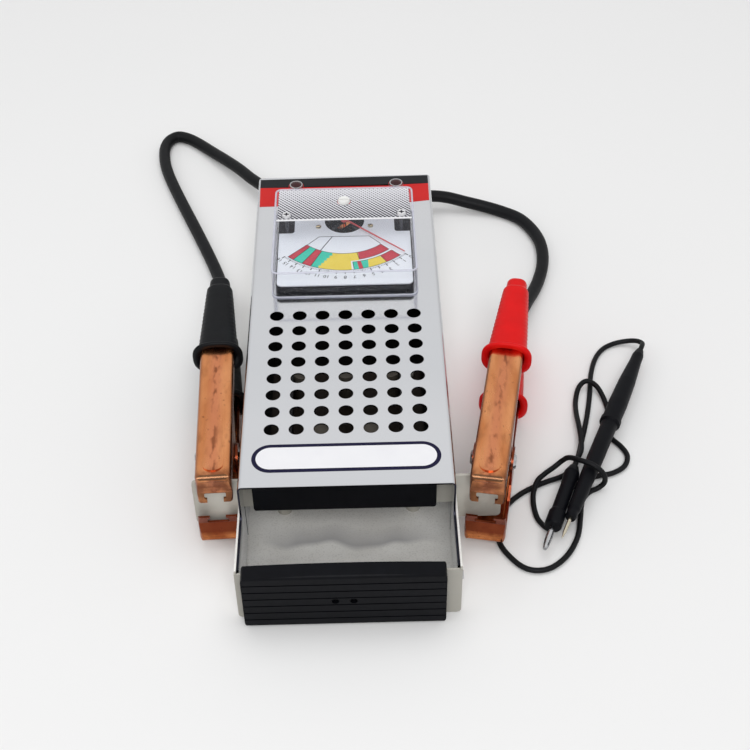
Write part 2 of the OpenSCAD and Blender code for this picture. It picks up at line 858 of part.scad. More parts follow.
module cover_block(inset) {
  h = meter_h - inset;
  r = inset > 0 ? meter_edge_r / 2 : meter_edge_r;
  intersection() {
    translate([0, (meter_y0 + meter_y1) / 2, body_h])
      across(meter_w)
        cover_side(meter_l - 2 * inset, h, r);
    translate([0, meter_y1, body_h])
      rotate([90, 0, 0])
        linear_extrude(meter_l)
          cover_side(meter_w - 2 * inset, h, r);
    translate([0, 0, body_h])
      linear_extrude(meter_h + 1)
        meter_plan(inset);
  }
}

module meter_cover() {
  color("#e6ebee", 0.45)
    difference() {
      cover_block(0);
      cover_block(meter_wall);
      translate([0, zero_y, body_h + 1])
        cylinder(r = zero_r + run_gap, h = meter_h);
      for (s = [-1, 1])
        translate([s * cover_screw[0], cover_screw[1], body_h + 1])
          cylinder(d = cover_screw_d, h = meter_h);
    }
}

module meter_cover_screws() {
  color("#d0d2d5")
    for (s = [-1, 1])
      translate([s * cover_screw[0], cover_screw[1], 0]) {
        translate([0, 0, body_h + 0.4])
          cylinder(d = cover_screw_d, h = meter_h - 0.4);
        translate([0, 0, meter_top])
          difference() {
            cylinder(d1 = 5.6, d2 = 4.6, h = 1.4);
            translate([-4, -0.4, 0.8])
              cube([8, 0.8, 2]);
          }
      }
}

module dial_plan() {
  notch_w = dial_w / 2 - 30.2;
  notch_l = dial_y1 - cover_screw[1] + cover_screw_d / 2 + cut_gap;
  difference() {
    translate([0, (dial_y0 + dial_y1) / 2])
      rounded(dial_w, dial_y1 - dial_y0, dial_r);
    for (s = [-1, 1])
      translate([s * dial_w / 2, dial_y1])
        rounded(2 * notch_w, 2 * notch_l, 2);
    translate([0, pivot_y])
      circle(dial_hole_r);
    for (s = [-1, 1])
      translate([s * dial_screw[0], dial_screw[1]])
        circle(d = dial_screw_d);
  }
}

module meter_dial() {
  color("#f0eef4")
    translate([0, 0, base_top])
      linear_extrude(dial_t)
        dial_plan();
}

module dial_screws() {
  color("#c9b38a")
    for (s = [-1, 1])
      translate([s * dial_screw[0], dial_screw[1], 0]) {
        translate([0, 0, body_h - 3])
          cylinder(d = dial_screw_d, h = dial_top - body_h + 3);
        translate([0, 0, dial_top])
          difference() {
            cylinder(d = 2 * dial_screw_d, h = 0.8);
            translate([-2, -0.25, 0.5])
              cube([4, 0.5, 1]);
          }
      }
}

// The magnet's ring, open toward the dial for the moving coil
module magnet() {
  color("#6d7075")
    difference() {
      translate([0, pivot_y, barrel_floor + 3])
        cylinder(r = magnet_r, h = magnet_top - barrel_floor - 3);
      translate([0, pivot_y, bearing_z])
        cylinder(r = magnet_bore, h = 40);
    }
}

// The bridge over the needle's hub, on two posts that stand on the magnet
module meter_bridge() {
  post_x = (magnet_r + magnet_bore) / 2;
  color("#b9bbbf")
    translate([0, pivot_y, 0]) {
      for (s = [-1, 1])
        translate([s * post_x, 0, magnet_top])
          cylinder(r = 1.1, h = bridge_bar_z - magnet_top + 0.5);
      translate([0, 0, bridge_bar_z])
        linear_extrude(1)
          rounded(2 * magnet_r + 1, 4, 1.9);
      translate([0, 0, bridge_bar_z])
        cylinder(r = 1.5, h = 1.8);
    }
}

module needle() {
  color("#c8262b")
    translate([0, pivot_y, 0])
      rotate([0, 0, needle_rest]) {
        translate([0, 0, needle_z - needle_hub_h / 2])
          cylinder(r = 2.4, h = needle_hub_h);
        translate([0, 0, needle_z - 0.3])
          linear_extrude(0.6)
            polygon([[-needle_w / 2, 0], [-needle_tip_w / 2, -needle_l], [needle_tip_w / 2, -needle_l],
              [needle_w / 2, 0]]);
        translate([-1.2, 0, needle_z - 0.3])
          cube([2.4, 9, 0.6]);
      }
}

module moving_coil() {
  color("#b5702f")
    translate([0, pivot_y, 0])
      rotate([0, 0, needle_rest]) {
        difference() {
          translate([-5, -1.5, bearing_z + 2])
            cube([10, 3, needle_z - bearing_z - 6.5]);
          translate([-3.6, -2, bearing_z + 3.4])
            cube([7.2, 4, needle_z - bearing_z - 9.3]);
        }
        translate([0, 0, needle_z - 4.6])
          cylinder(r = 0.9, h = 4.6 - needle_hub_h / 2);
        translate([0, 0, bearing_z + cut_gap])
          cylinder(r = 0.9, h = 2);
      }
}

module zero_adjuster() {
  color("#e8e8e6")
    translate([0, zero_y, meter_top])
      difference() {
        union() {
          translate([0, 0, cut_gap])
            cylinder(r1 = zero_head_r, r2 = zero_head_r - 0.5, h = 1.4);
          translate([0, 0, -meter_wall - 2])
            cylinder(r = zero_r, h = meter_wall + 2 + 2 * cut_gap);
          translate([0, 0, -meter_wall - cut_gap - 1])
            cylinder(r = zero_r + 0.8, h = 1);
          translate([0, -zero_r + 0.7, -meter_wall - 4.5])
            cylinder(r = 0.6, h = 3);
        }
        translate([-2.6, -0.5, cut_gap + 0.7])
          cube([5.2, 1, 2]);
      }
}

module meter_studs() {
  color("#c7a14c")
    for (s = [-1, 1])
      translate([s * stud_x, barrel_y, barrel_floor - 12])
        cylinder(d = stud_d, h = 16);
}

module meter_nuts() {
  color("#b9bbbf")
    for (s = [-1, 1])
      translate([s * stud_x, barrel_y, barrel_floor - 3.2])
        difference() {
          cylinder(r = stud_d, h = 3.2, $fn = 6);
          translate([0, 0, -1])
            cylinder(d = stud_d, h = 6);
        }
}

// Lamps, jack and strain reliefs
module lamps() {
  color("#7a1418")
    lamp_places() {
      translate([0, 0, panel_under - lamp_tail])
        cylinder(d = lamp_d, h = lamp_tail + sheet + lamp_rim);
      intersection() {
        translate([0, 0, body_h + lamp_rim + lamp_dome - dome_r])
          sphere(dome_r);
        translate([0, 0, body_h])
          cylinder(d = lamp_d, h = lamp_d);
      }
    }
}

module lamp_bezels() {
  color("#d9dadd")
    lamp_places()
      difference() {
        union() {
          translate([0, 0, body_h])
            cylinder(d1 = bezel_d, d2 = bezel_d - 0.8, h = 1.2);
          translate([0, 0, panel_under - 3])
            cylinder(d = lamp_d + 1, h = 3 + sheet);
        }
        translate([0, 0, panel_under - 4])
          cylinder(d = lamp_d, h = 10);
      }
}

module test_jack() {
  color("#b3191f")
    translate([0, far_y - 14, exit_h])
      difference() {
        union() {
          along_y(jack_r, 14);
          translate([0, 14, 0])
            along_y(jack_r + 2.5, 3);
        }
        along_y(plug_pin_d / 2 + 0.1, 20);
      }
}

module jack_nut() {
  color("#b9bbbf")
    translate([0, far_y - sheet - 3, exit_h])
      rotate([-90, 0, 0])
        difference() {
          cylinder(r = jack_r + 2.5, h = 3, $fn = 6);
          translate([0, 0, -1])
            cylinder(r = jack_r, h = 6);
        }
}

module gland() {
  rotate([-90, 0, 0])
    rotate_extrude()
      polygon([[0, -5], [gland_hole / 2 + 1.5, -5], [gland_hole / 2 + 1.5, -sheet], [gland_hole / 2, -sheet],
        [gland_hole / 2, 0], [gland_d / 2, 0], [gland_d / 2, 2.5], [gland_d / 2 - 2, 3.5],
        [cable_d / 2 + 1.2, gland_l], [0, gland_l]]);
}

module black_gland() {
  color("#202124")
    translate([-exit_gap / 2, far_y, exit_h])
      gland();
}

module red_gland() {
  color("#202124")
    translate([exit_gap / 2, far_y, exit_h])
      gland();
}

// Clamps, drawn with the rivet at the origin and the nose toward -Y
module clamp_place(place) {
  translate([place[0], clamp_pivot_y + place[2], clamp_z])
    rotate([0, 0, place[1]])
      children();
}

// Distance of the nose's outer face from the rivet: hollow between the fold and the teeth's lip
function lean_at(z) = nose_y + (z > hollow_z ? nose_hollow * (jaw_h - z) / (jaw_h - hollow_z)
  : nose_lean + (nose_hollow - nose_lean) * (z - tooth_gap) / (hollow_z - tooth_gap));

// Outline of a jaw and its handle from the side
module jaw_side() {
  union() {
    polygon([[lean_at(hollow_z), hollow_z], [lean_at(tooth_gap), tooth_gap],
      [lean_at(tooth_gap) + jaw_t, tooth_gap], [lean_at(hollow_z) + jaw_t, hollow_z],
      [lean_at(cavity_z) + jaw_t, cavity_z], [-jaw_ear_r - cavity_r, cavity_z],
      [-jaw_ear_r, cavity_z - cavity_r],
      [-jaw_ear_r, 0], [jaw_ear_r, 0], [jaw_ear_r + 12, handle_under], [handle_l, handle_under],
      [handle_l, jaw_h], [nose_y + nose_r, jaw_h], [lean_at(jaw_h - nose_r), jaw_h - nose_r]]);
    translate([nose_y + nose_r + 0.1, jaw_h - nose_r])
      circle(nose_r);
    circle(jaw_ear_r);
  }
}

// The room inside a jaw, from the side
module jaw_room() {
  polygon([[lean_at(tooth_gap) + jaw_t, -60], [handle_l + 10, -60], [handle_l + 10, jaw_h - jaw_t],
    [lean_at(jaw_h - 3) + jaw_t + 0.6, jaw_h - jaw_t], [lean_at(jaw_h - 3) + jaw_t, jaw_h - 3],
    [lean_at(hollow_z) + jaw_t, hollow_z], [lean_at(tooth_gap) + jaw_t, tooth_gap]]);
}

// One long edge of a jaw in plan: wide at the rivet, then as wide as the upper jaw, tapering in the sleeve
function jaw_edge(w, inset, front) = concat([[w / 2 - inset, front]],
  w > jaw_w ? [[w / 2 - inset, waist_from], [jaw_w / 2 - inset, waist_to]] : [],
  [[jaw_w / 2 - inset, sleeve_from], [handle_end_w / 2 - inset, handle_l + abs(inset)]]);

// A jaw in plan, with round corners at its nose, or with an inset its room, with square ones
module jaw_plan(w, inset) {
  edge = jaw_edge(w, inset, nose_y + (inset > 0 ? inset : nose_corner_r));
  last = len(edge) - 1;
  corner_x = w / 2 - nose_corner_r;
  union() {
    polygon(concat(edge, [for (i = [last : -1 : 0]) [-edge[i][0], edge[i][1]]]));
    if (inset <= 0) {
      translate([-corner_x, nose_y])
        square([2 * corner_x, nose_corner_r]);
      for (s = [-1, 1])
        translate([s * corner_x, nose_y + nose_corner_r])
          circle(nose_corner_r);
    }
  }
}

// A jaw's section across, with its two folds
module jaw_section(w, inset) {
  half = w / 2 - inset;
  fold_x = w / 2 - jaw_fold_r;
  union() {
    translate([-half, -50])
      square([2 * half, 50 + jaw_h - jaw_fold_r]);
    translate([-fold_x, -50])
      square([2 * fold_x, 50 + jaw_h - inset]);
    for (s = [-1, 1])
      translate([s * fold_x, jaw_h - jaw_fold_r])
        circle(jaw_fold_r - inset);
  }
}

// A channel's outer form, or with an inset its room, from its side, plan and section
module jaw_form(w, inset) {
  intersection() {
    across(w + 2)
      children();
    translate([0, 0, -60])
      linear_extrude(120)
        jaw_plan(w, inset);
    translate([0, handle_l + 20, 0])
      rotate([90, 0, 0])
        linear_extrude(handle_l + nose_l + 40)
          jaw_section(w, inset);
  }
}

// The rib pressed out of a jaw's back, with round ends and a crowned top
module jaw_rib() {
  intersection() {
    translate([0, (rib_near + rib_far) / 2, jaw_h - jaw_t / 2])
      linear_extrude(jaw_t / 2 + rib_h)
        rounded(rib_w, rib_far - rib_near, rib_w / 2 - 0.1);
    translate([0, nose_y, jaw_h + rib_h - rib_arc])
      along_y(rib_arc, handle_l);
  }
}

// The notch between the two hooked teeth, seen from the front
module tooth_notch() {
  union() {
    translate([-tooth_gap_w / 2, -1])
      square([tooth_gap_w, hook_h + 1.5]);
    translate([0, (hook_h + tooth_gap_d) / 2])
      rounded(tooth_gap_w + 2 * hook_w, tooth_gap_d - hook_h, 0.8);
  }
}

// One jaw with its handle, a folded channel open toward the other jaw, with two hooked teeth on its nose
module jaw(w) {
  difference() {
    union() {
      jaw_form(w, 0)
        jaw_side();
      jaw_rib();
    }
    jaw_form(w, jaw_t)
      jaw_room();
    translate([0, nose_y + 10, tooth_gap])
      rotate([90, 0, 0])
        linear_extrude(12)
          tooth_notch();
  }
}

module upper_jaw() {
  difference() {
    jaw(jaw_w);
    across(2 * jaw_w)
      circle(rivet_d / 2 + run_gap);
  }
}

module lower_jaw() {
  difference() {
    mirror([0, 0, 1])
      jaw(lower_w);
    across(2 * lower_w)
      circle(rivet_d / 2);
  }
}

module rivet() {
  union() {
    across(lower_w)
      circle(rivet_d / 2);
    for (s = [-1, 1])
      rotate([0, s * 90, 0])
        translate([0, 0, lower_w / 2])
          cylinder(r1 = rivet_d / 2 + 2, r2 = rivet_d / 2 + 0.8, h = 1.4);
  }
}

coil_wire = 1.6;
coil_r = rivet_d / 2 + 0.6 + coil_wire / 2;
coil_turns = 4;
coil_pitch = coil_wire + 0.8;
coil_half = coil_turns * coil_pitch / 2;
leg_y = 30;
leg_z = jaw_h - jaw_t - coil_wire / 2 - 0.1;
leg_angle = acos(coil_r / norm([leg_y, leg_z])) - atan2(leg_z, leg_y);
coil_sweep = 360 * coil_turns - 2 * leg_angle;
coil_steps = 12 * coil_turns;
coil_line = concat(
  [[-coil_half, leg_y + 6, -leg_z], [-coil_half, leg_y, -leg_z]],
  [for (i = [0 : coil_steps])
    let (a = leg_angle + coil_sweep * i / coil_steps)
      [-coil_half + 2 * coil_half * i / coil_steps, coil_r * cos(a), coil_r * sin(a)]],
  [[coil_half, leg_y, leg_z], [coil_half, leg_y + 6, leg_z]]);
echo(clamp_spring_gap = self_gap(coil_line, coil_wire, 9));

module clamp_spring() {
  tube(coil_line, coil_wire, 6, [1, 0, 0]);
}

// A rounded slice of a sleeve between two heights
module sleeve_slice(y, w, low, high, r, depth = 0.5) {
  translate([0, y, (low + high) / 2])
    rotate([-90, 0, 0])
      linear_extrude(depth)
        rounded(w, high - low, r);
}

// The tapering part of a sleeve, or with an inset its room
module sleeve_taper(inset) {
  hull() {
    sleeve_slice(sleeve_from - inset, mouth_w - 2 * inset, mouth_low + inset, sleeve_top - inset,
      sleeve_r - inset);
    sleeve_slice(sleeve_to - nub_l, tail_w - 2 * inset, tail_low + inset, sleeve_top - inset,
      sleeve_r - inset);
  }
}

// The room that a handle takes up in its sleeve
module handle_room() {
  intersection() {
    translate([0, 0, handle_under - sleeve_gap])
      linear_extrude(handle_depth + 2 * sleeve_gap)
        jaw_plan(jaw_w, -sleeve_gap);
    translate([-mouth_w, sleeve_from - 10, 0])
      cube([2 * mouth_w, handle_l + sleeve_gap - sleeve_from + 10, 2 * jaw_h]);
  }
}

// The round ring at the sleeve's mouth
module sleeve_collar() {
  bead = collar_t / 4;
  out = collar_out - bead;
  hull() {
    sleeve_slice(sleeve_from, mouth_w + 2 * out, mouth_low - out, sleeve_top + out, sleeve_r + out, collar_t);
    sleeve_slice(sleeve_from + bead, mouth_w + 2 * collar_out, mouth_low - collar_out,
      sleeve_top + collar_out, sleeve_r + collar_out, collar_t - 2 * bead);
  }
}

// A dipped grip over a handle's end, from its flared collar to its narrow nub round the cable
module sleeve() {
  $fn = 32;
  difference() {
    union() {
      sleeve_taper(0);
      sleeve_collar();
      sleeve_slice(sleeve_to - nub_l - 1, tail_w - 2 * nub_step, tail_low + nub_step / 4,
        sleeve_top - nub_step / 4, sleeve_r, nub_l + 1);
    }
    handle_room();
    intersection() {
      sleeve_taper(sleeve_wall);
      translate([-mouth_w, 0, 0])
        cube([2 * mouth_w, handle_l + sleeve_gap, 2 * jaw_h]);
    }
  }
}

module upper_sleeve() {
  sleeve();
}

module lower_sleeve() {
  mirror([0, 0, 1])
    sleeve();
}

module black_lower_jaw() {
  color("#b9733f")
    clamp_place(black_clamp)
      lower_jaw();
}

module black_upper_jaw() {
  color("#c27b45")
    clamp_place(black_clamp)
      upper_jaw();
}

module black_rivet() {
  color("#c9cbce")
    clamp_place(black_clamp)
      rivet();
}

module black_spring() {
  color("#9b9da1")
    clamp_place(black_clamp)
      clamp_spring();
}

module black_lower_sleeve() {
  color("#232529")
    clamp_place(black_clamp)
      lower_sleeve();
}

module black_upper_sleeve() {
  color("#232529")
    clamp_place(black_clamp)
      upper_sleeve();
}

module red_lower_jaw() {
  color("#b9733f")
    clamp_place(red_clamp)
      lower_jaw();
}

module red_upper_jaw() {
  color("#c27b45")
    clamp_place(red_clamp)
      upper_jaw();
}

module red_rivet() {
  color("#c9cbce")
    clamp_place(red_clamp)
      rivet();
}

module red_spring() {
  color("#9b9da1")
    clamp_place(red_clamp)
      clamp_spring();
}

module red_lower_sleeve() {
  color("#d8262a")
    clamp_place(red_clamp)
      lower_sleeve();
}

module red_upper_sleeve() {
  color("#d8262a")
    clamp_place(red_clamp)
      upper_sleeve();
}

// Cables and test lead
module black_cable() {
  color("#1b1c1f")
    tube(smooth(black_route, 1), cable_d, 12);
}

module red_cable() {
  color("#1b1c1f")
    tube(smooth(red_route, 1), cable_d, 12);
}

lead_line = smooth(lead_route, 2);
echo(lead_gap = self_gap(lead_line, lead_d, 6));

module lead_wire() {
  color("#17181a")
    tube(lead_line, lead_d, 8);
}

module probe_place() {
  translate(probe_front)
    rotate([0, 0, probe_turn])
      children();
}

module probe_shaft() {
  color("#1a1b1e")
    probe_place()
      rotate([-90, 0, 0])
        rotate_extrude()
          polygon([[0, 0], [2.6, 0], [3.1, 1.5], [3.1, 5], [3.6, 7], [4.7, probe_shaft_l - 32],
            [4.7, probe_shaft_l - 4], [probe_collar_d / 2, probe_shaft_l - 3],
            [probe_collar_d / 2, probe_shaft_l], [0, probe_shaft_l]]);
}

module probe_cap() {
  color("#15161a")
    probe_place()
      translate([0, probe_shaft_l, 0])
        rotate([-90, 0, 0])
          rotate_extrude()
            polygon([[0, 0], [5.4, 0], [5.6, 14], [5, 34], [3.6, probe_cap_l - 6], [3.4, probe_cap_l],
              [2.2, probe_cap_l + probe_nub_l], [0, probe_cap_l + probe_nub_l]]);
}

module probe_needle() {
  color("#c9a65a")
    probe_place()
      rotate([90, 0, 0])
        rotate_extrude()
          polygon([[0, 0], [1, 0], [1, probe_tip_l - 5], [0.15, probe_tip_l], [0, probe_tip_l]]);
}

module plug_place() {
  translate(plug_front)
    rotate([0, 0, plug_turn])
      children();
}

module plug_body() {
  color("#1a1b1e")
    plug_place()
      rotate([-90, 0, 0])
        rotate_extrude()
          polygon([[0, 0], [4.1, 0], [4.7, 1], [4.7, 10], [3.9, 12], [3.8, plug_l - 14], [4.3, plug_l - 8],
            [4.3, plug_l - 5], [2.6, plug_l], [0, plug_l]]);
}

// A pin whose four slit leaves bow out to grip a socket
module plug_pin() {
  bow_r = (plug_pin_l * plug_pin_l / 4 + plug_bow * plug_bow) / (2 * plug_bow);
  waist = plug_pin_d / 2 - plug_bow;
  color("#d4d6da")
    plug_place()
      rotate([90, 0, 0])
        difference() {
          rotate_extrude()
            intersection() {
              translate([waist + plug_bow - bow_r, plug_pin_l / 2])
                circle(bow_r, $fn = 240);
              square([plug_pin_d, plug_pin_l]);
            }
          for (a = [45, 135])
            rotate([0, 0, a])
              translate([-plug_pin_d, -plug_slit / 2, 3])
                cube([2 * plug_pin_d, plug_slit, plug_pin_l - 5]);
        }
}

front_cover();
base_tray();
cover_screws();
handle_grip();
grip_screws();
clamp_rest();
push_bar();
guide_pins();
return_springs();
pin_clips();
contact_bridge();
load_board();
board_posts();
contact_posts();
load_strip();
strip_posts();
meter_base();
meter_cover();
meter_dial();
dial_screws();
meter_cover_screws();
magnet();
meter_bridge();
needle();
moving_coil();
zero_adjuster();
meter_studs();
meter_nuts();
lamps();
lamp_bezels();
test_jack();
jack_nut();
black_gland();
red_gland();
black_lower_jaw();
black_upper_jaw();
black_rivet();
black_spring();
black_lower_sleeve();
black_upper_sleeve();
red_lower_jaw();
red_upper_jaw();
red_rivet();
red_spring();
red_lower_sleeve();
red_upper_sleeve();
black_cable();
red_cable();
lead_wire();
probe_shaft();
probe_cap();
probe_needle();
plug_body();
plug_pin();
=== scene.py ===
import math

import bmesh
import bpy
from mathutils import Matrix, Vector


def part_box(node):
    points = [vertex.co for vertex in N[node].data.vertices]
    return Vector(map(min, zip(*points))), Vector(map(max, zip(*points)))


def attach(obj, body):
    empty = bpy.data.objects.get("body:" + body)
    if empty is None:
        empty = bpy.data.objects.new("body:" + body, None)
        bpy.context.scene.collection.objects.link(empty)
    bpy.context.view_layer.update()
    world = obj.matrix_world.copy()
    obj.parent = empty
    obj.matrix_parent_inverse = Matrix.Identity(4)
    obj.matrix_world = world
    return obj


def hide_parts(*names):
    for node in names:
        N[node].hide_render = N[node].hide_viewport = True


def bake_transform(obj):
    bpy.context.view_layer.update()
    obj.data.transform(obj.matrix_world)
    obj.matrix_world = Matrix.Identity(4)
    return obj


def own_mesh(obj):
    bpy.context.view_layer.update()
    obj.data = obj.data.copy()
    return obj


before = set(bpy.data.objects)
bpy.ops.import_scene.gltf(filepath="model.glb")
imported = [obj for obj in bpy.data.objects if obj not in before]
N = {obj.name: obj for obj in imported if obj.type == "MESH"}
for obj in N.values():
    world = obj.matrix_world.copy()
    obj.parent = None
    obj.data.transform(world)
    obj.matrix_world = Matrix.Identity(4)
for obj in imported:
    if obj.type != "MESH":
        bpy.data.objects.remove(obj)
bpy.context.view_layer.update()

scene = bpy.context.scene

# Lengths are in millimetres and angles in degrees, unless a comment says otherwise
MM = 0.001
# Each clamp's rivet and the clamp's turn
RIVET = {"black": ((-69.3, -70.5, 31.55), 2.3), "red": ((78, -76, 31.55), -10.8)}
# Heights of the case's panel, of the dial's face and of the clear cover's top
PANEL, DIAL, TOP = 58.0, 64.3, 76.3
# Middles of the meter cover's screws and of the zero adjuster
SCREWS, ZERO = ((-34.4, 85.6), (34.4, 85.6)), (0, 99)
# Waves of the knurled band, in radians for each millimetre along x + y and x - y
KNURL = 2.51


def at(x, y, z):
    """A point given in millimetres, in the scene's metres."""
    return Vector((x, y, z)) * MM


def turned(degrees, axis):
    return Matrix.Rotation(math.radians(degrees), 4, axis)


def placed(name, data):
    o = bpy.data.objects.new(name, data)
    scene.collection.objects.link(o)
    return o


# Camera at the photograph's angle
CAMERA, HEADING, TILT_DOWN, ROLL = (11.7, -577.3, 562.4), -0.44, 42.98, -1.06
cam = placed("camera", bpy.data.cameras.new("camera"))
turn = turned(HEADING, "Z") @ turned(90 - TILT_DOWN, "X") @ turned(ROLL, "Z")
cam.matrix_world = Matrix.Translation(at(*CAMERA)) @ turn
cam.data.sensor_width = 36
cam.data.lens = 65.47
cam.data.clip_start = 0.01
scene.camera = cam


# Shader nodes; m is a material or the world
def srgb(r, g, b):
    return [((v / 255 + 0.055) / 1.055) ** 2.4 if v > 10 else v / 255 / 12.92 for v in (r, g, b)]


def feed(m, socket, value):
    """Set a socket to a value, or link it to another node's output."""
    if isinstance(value, bpy.types.NodeSocket):
        m.node_tree.links.new(value, socket)
    else:
        socket.default_value = value


def node(m, kind, **inputs):
    n = m.node_tree.nodes.new("ShaderNode" + kind)
    for k, v in inputs.items():
        feed(m, n.inputs[k.replace("_", " ")], v)
    return n


def calc(m, operation, *values):
    n = node(m, "Math")
    n.operation = operation
    for socket, v in zip(n.inputs, values):
        feed(m, socket, v)
    return n.outputs[0]


def both(m, a, b):
    return calc(m, "MULTIPLY", a, b)


def rise(m, value, low, high, top=1.0, bottom=0.0):
    """From bottom at low to top at high; low may be the larger one."""
    return node(m, "MapRange", Value=value, From_Min=low, From_Max=high, To_Min=bottom,
                To_Max=top).outputs["Result"]


def ramp(m, factor, low, dark, high, bright):
    """A colour that goes from dark at low to bright at high."""
    n = node(m, "ValToRGB", Fac=factor)
    for e, position, color in zip(n.color_ramp.elements, (low, high), (dark, bright)):
        e.position = position
        e.color = (*color, 1)
    return n.outputs["Color"]


def coords(m, origin=(0, 0, 0), yaw=0):
    """X, Y and Z of a surface point, seen from an origin and turned about it."""
    place = node(m, "Mapping", Vector=node(m, "TexCoord").outputs["Object"], Location=at(*origin),
                 Rotation=(0, 0, math.radians(yaw)), Scale=(MM, MM, MM))
    place.vector_type = "TEXTURE"
    return node(m, "SeparateXYZ", Vector=place.outputs["Vector"]).outputs


def normals(m):
    return node(m, "SeparateXYZ", Vector=node(m, "TexCoord").outputs["Normal"]).outputs


def cloud(m, scale, detail=4, stretch=(1, 1, 1)):
    """Noise at a scale per metre."""
    place = node(m, "Mapping", Vector=node(m, "TexCoord").outputs["Object"], Scale=stretch)
    return node(m, "TexNoise", Vector=place.outputs["Vector"], Scale=scale, Detail=detail).outputs["Fac"]


def bumps(m, height, depth, **under):
    return node(m, "Bump", Strength=1, Distance=depth * MM, Height=height, **under).outputs["Normal"]


def shader(m):
    return m.node_tree.nodes["Principled BSDF"].inputs


def paint(m, color, factor):
    """Lay a colour over what the material has so far."""
    base = shader(m)["Base Color"]
    mix = node(m, "Mix", Factor=factor)
    mix.data_type = "RGBA"
    feed(m, mix.inputs["A"], base.links[0].from_socket)
    feed(m, mix.inputs["B"], (*color, 1))
    feed(m, base, mix.outputs["Result"])


# Materials
SECOND_TONE = 0.86  # share of the colour, where no second colour is given
FINER = 2.7  # how much finer than the colour the roughness drifts
SMOOTHEST = 0.02


def blank(name):
    m = bpy.data.materials.new(name)
    m.use_nodes = True
    return m


def material(name, color, rough, metal=0.0, dark=None, mottle=90, blend=0.5, rough_span=0.12,
             bump=0.0, grain=900, stretch=(1, 1, 1), **sockets):
    """A colour that drifts to a second one, uneven roughness and a fine surface bump."""
    m = blank(name)
    p = shader(m)
    dark = dark or [c * SECOND_TONE for c in color]
    tone = cloud(m, mottle, stretch=stretch)
    feed(m, p["Base Color"], ramp(m, tone, 0.5 - blend / 2, dark, 0.5 + blend / 2, color))
    uneven = cloud(m, mottle * FINER, stretch=stretch)
    least = max(rough - rough_span, SMOOTHEST)
    feed(m, p["Roughness"], rise(m, uneven, 0, 1, rough + rough_span, least))
    if bump:
        feed(m, p["Normal"], bumps(m, cloud(m, grain, 3, stretch), bump))
    p["Metallic"].default_value = metal
    for k, v in sockets.items():
        p[k.replace("_", " ")].default_value = v
    return m


def copper_look(name, bright, worn, spot):
    """Plated copper drawn along the jaw: long streaks, worn patches, shallow dents, small dark specks."""
    m = material(name, bright, 0.24, 1.0, worn, mottle=60, blend=0.3, rough_span=0.12,
                 stretch=(1.7, 0.4, 1.7))
    paint(m, [c * 0.55 for c in worn], rise(m, cloud(m, 95, 5, (1.5, 0.6, 1.5)), 0.54, 0.76, 0.7))
    paint(m, spot, rise(m, cloud(m, 480, 3, (1, 0.7, 1)), 0.65, 0.73, 0.75))
    dents = bumps(m, cloud(m, 70, 2, (1.2, 0.5, 1.2)), 0.55)
    feed(m, shader(m)["Normal"], bumps(m, cloud(m, 330, 3, (1, 0.8, 1)), 0.05, Normal=dents))
    return m


# The brown is also used as painted shade on the jaws; the last of these is painted shade that dims the
# highlight on the jaws' folds
BROWN, ROSE, FOLD_SHADE = srgb(112, 58, 34), srgb(208, 131, 95), srgb(104, 76, 56)


def upper_jaw_look(side):
    """Copper rubbed rosy and pitted along its middle and smudged brown before the nose; painted shade in
    brown on its sides and on the nose below its fold, and a dull paint on the folds that dims their
    highlight.
    """
    m = copper_look(f"copper_{side}_upper", srgb(226, 156, 106), srgb(200, 126, 78), srgb(84, 44, 26))
    rivet, yaw = RIVET[side]
    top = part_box(f"{side}_upper_jaw")[1][2] / MM - rivet[2]
    x, y, z = coords(m, rivet, yaw)
    off = calc(m, "ABSOLUTE", x)
    pits = rise(m, cloud(m, 300, 5, (1, 0.35, 1)), 0.5, 0.62)
    smudge = rise(m, cloud(m, 120), 0.36, 0.6, 0.7)
    front = both(m, rise(m, y, -34.5, -36), rise(m, z, top - 4, top - 9))
    paint(m, ROSE, rise(m, off, 5, 1, 0.75))
    paint(m, BROWN, both(m, pits, rise(m, off, 3, 0.5, 0.7)))
    # Painted shade: brown along the jaw's side folds
    paint(m, BROWN, rise(m, off, 7.9, 9.2, 0.75))
    paint(m, BROWN, both(m, smudge, rise(m, y, -29, -34)))
    # Painted shade: brown patches on the nose front below its fold
    paint(m, BROWN, both(m, smudge, front))
    # Painted shade on faces turned forward and up, such as the nose's fold, dimming their highlight
    _, forward, upward = normals(m)
    paint(m, FOLD_SHADE, both(m, rise(m, forward, -0.1, -0.35, 0.9), rise(m, upward, 0.1, 0.35)))
    return m


def lower_jaw_look():
    """A darker, redder copy of the copper, as painted shade; above the nose's foot it is painted darker
    still, so only the foot stays bright.
    """
    m = copper_look("shaded_copper_lower", srgb(206, 130, 80), srgb(156, 84, 48), srgb(66, 32, 20))
    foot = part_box("black_lower_jaw")[0][2] / MM
    # Painted shade over the jaw's front above its foot
    paint(m, srgb(112, 48, 30), rise(m, coords(m)["Z"], foot + 5, foot + 8, 0.9))
    return m


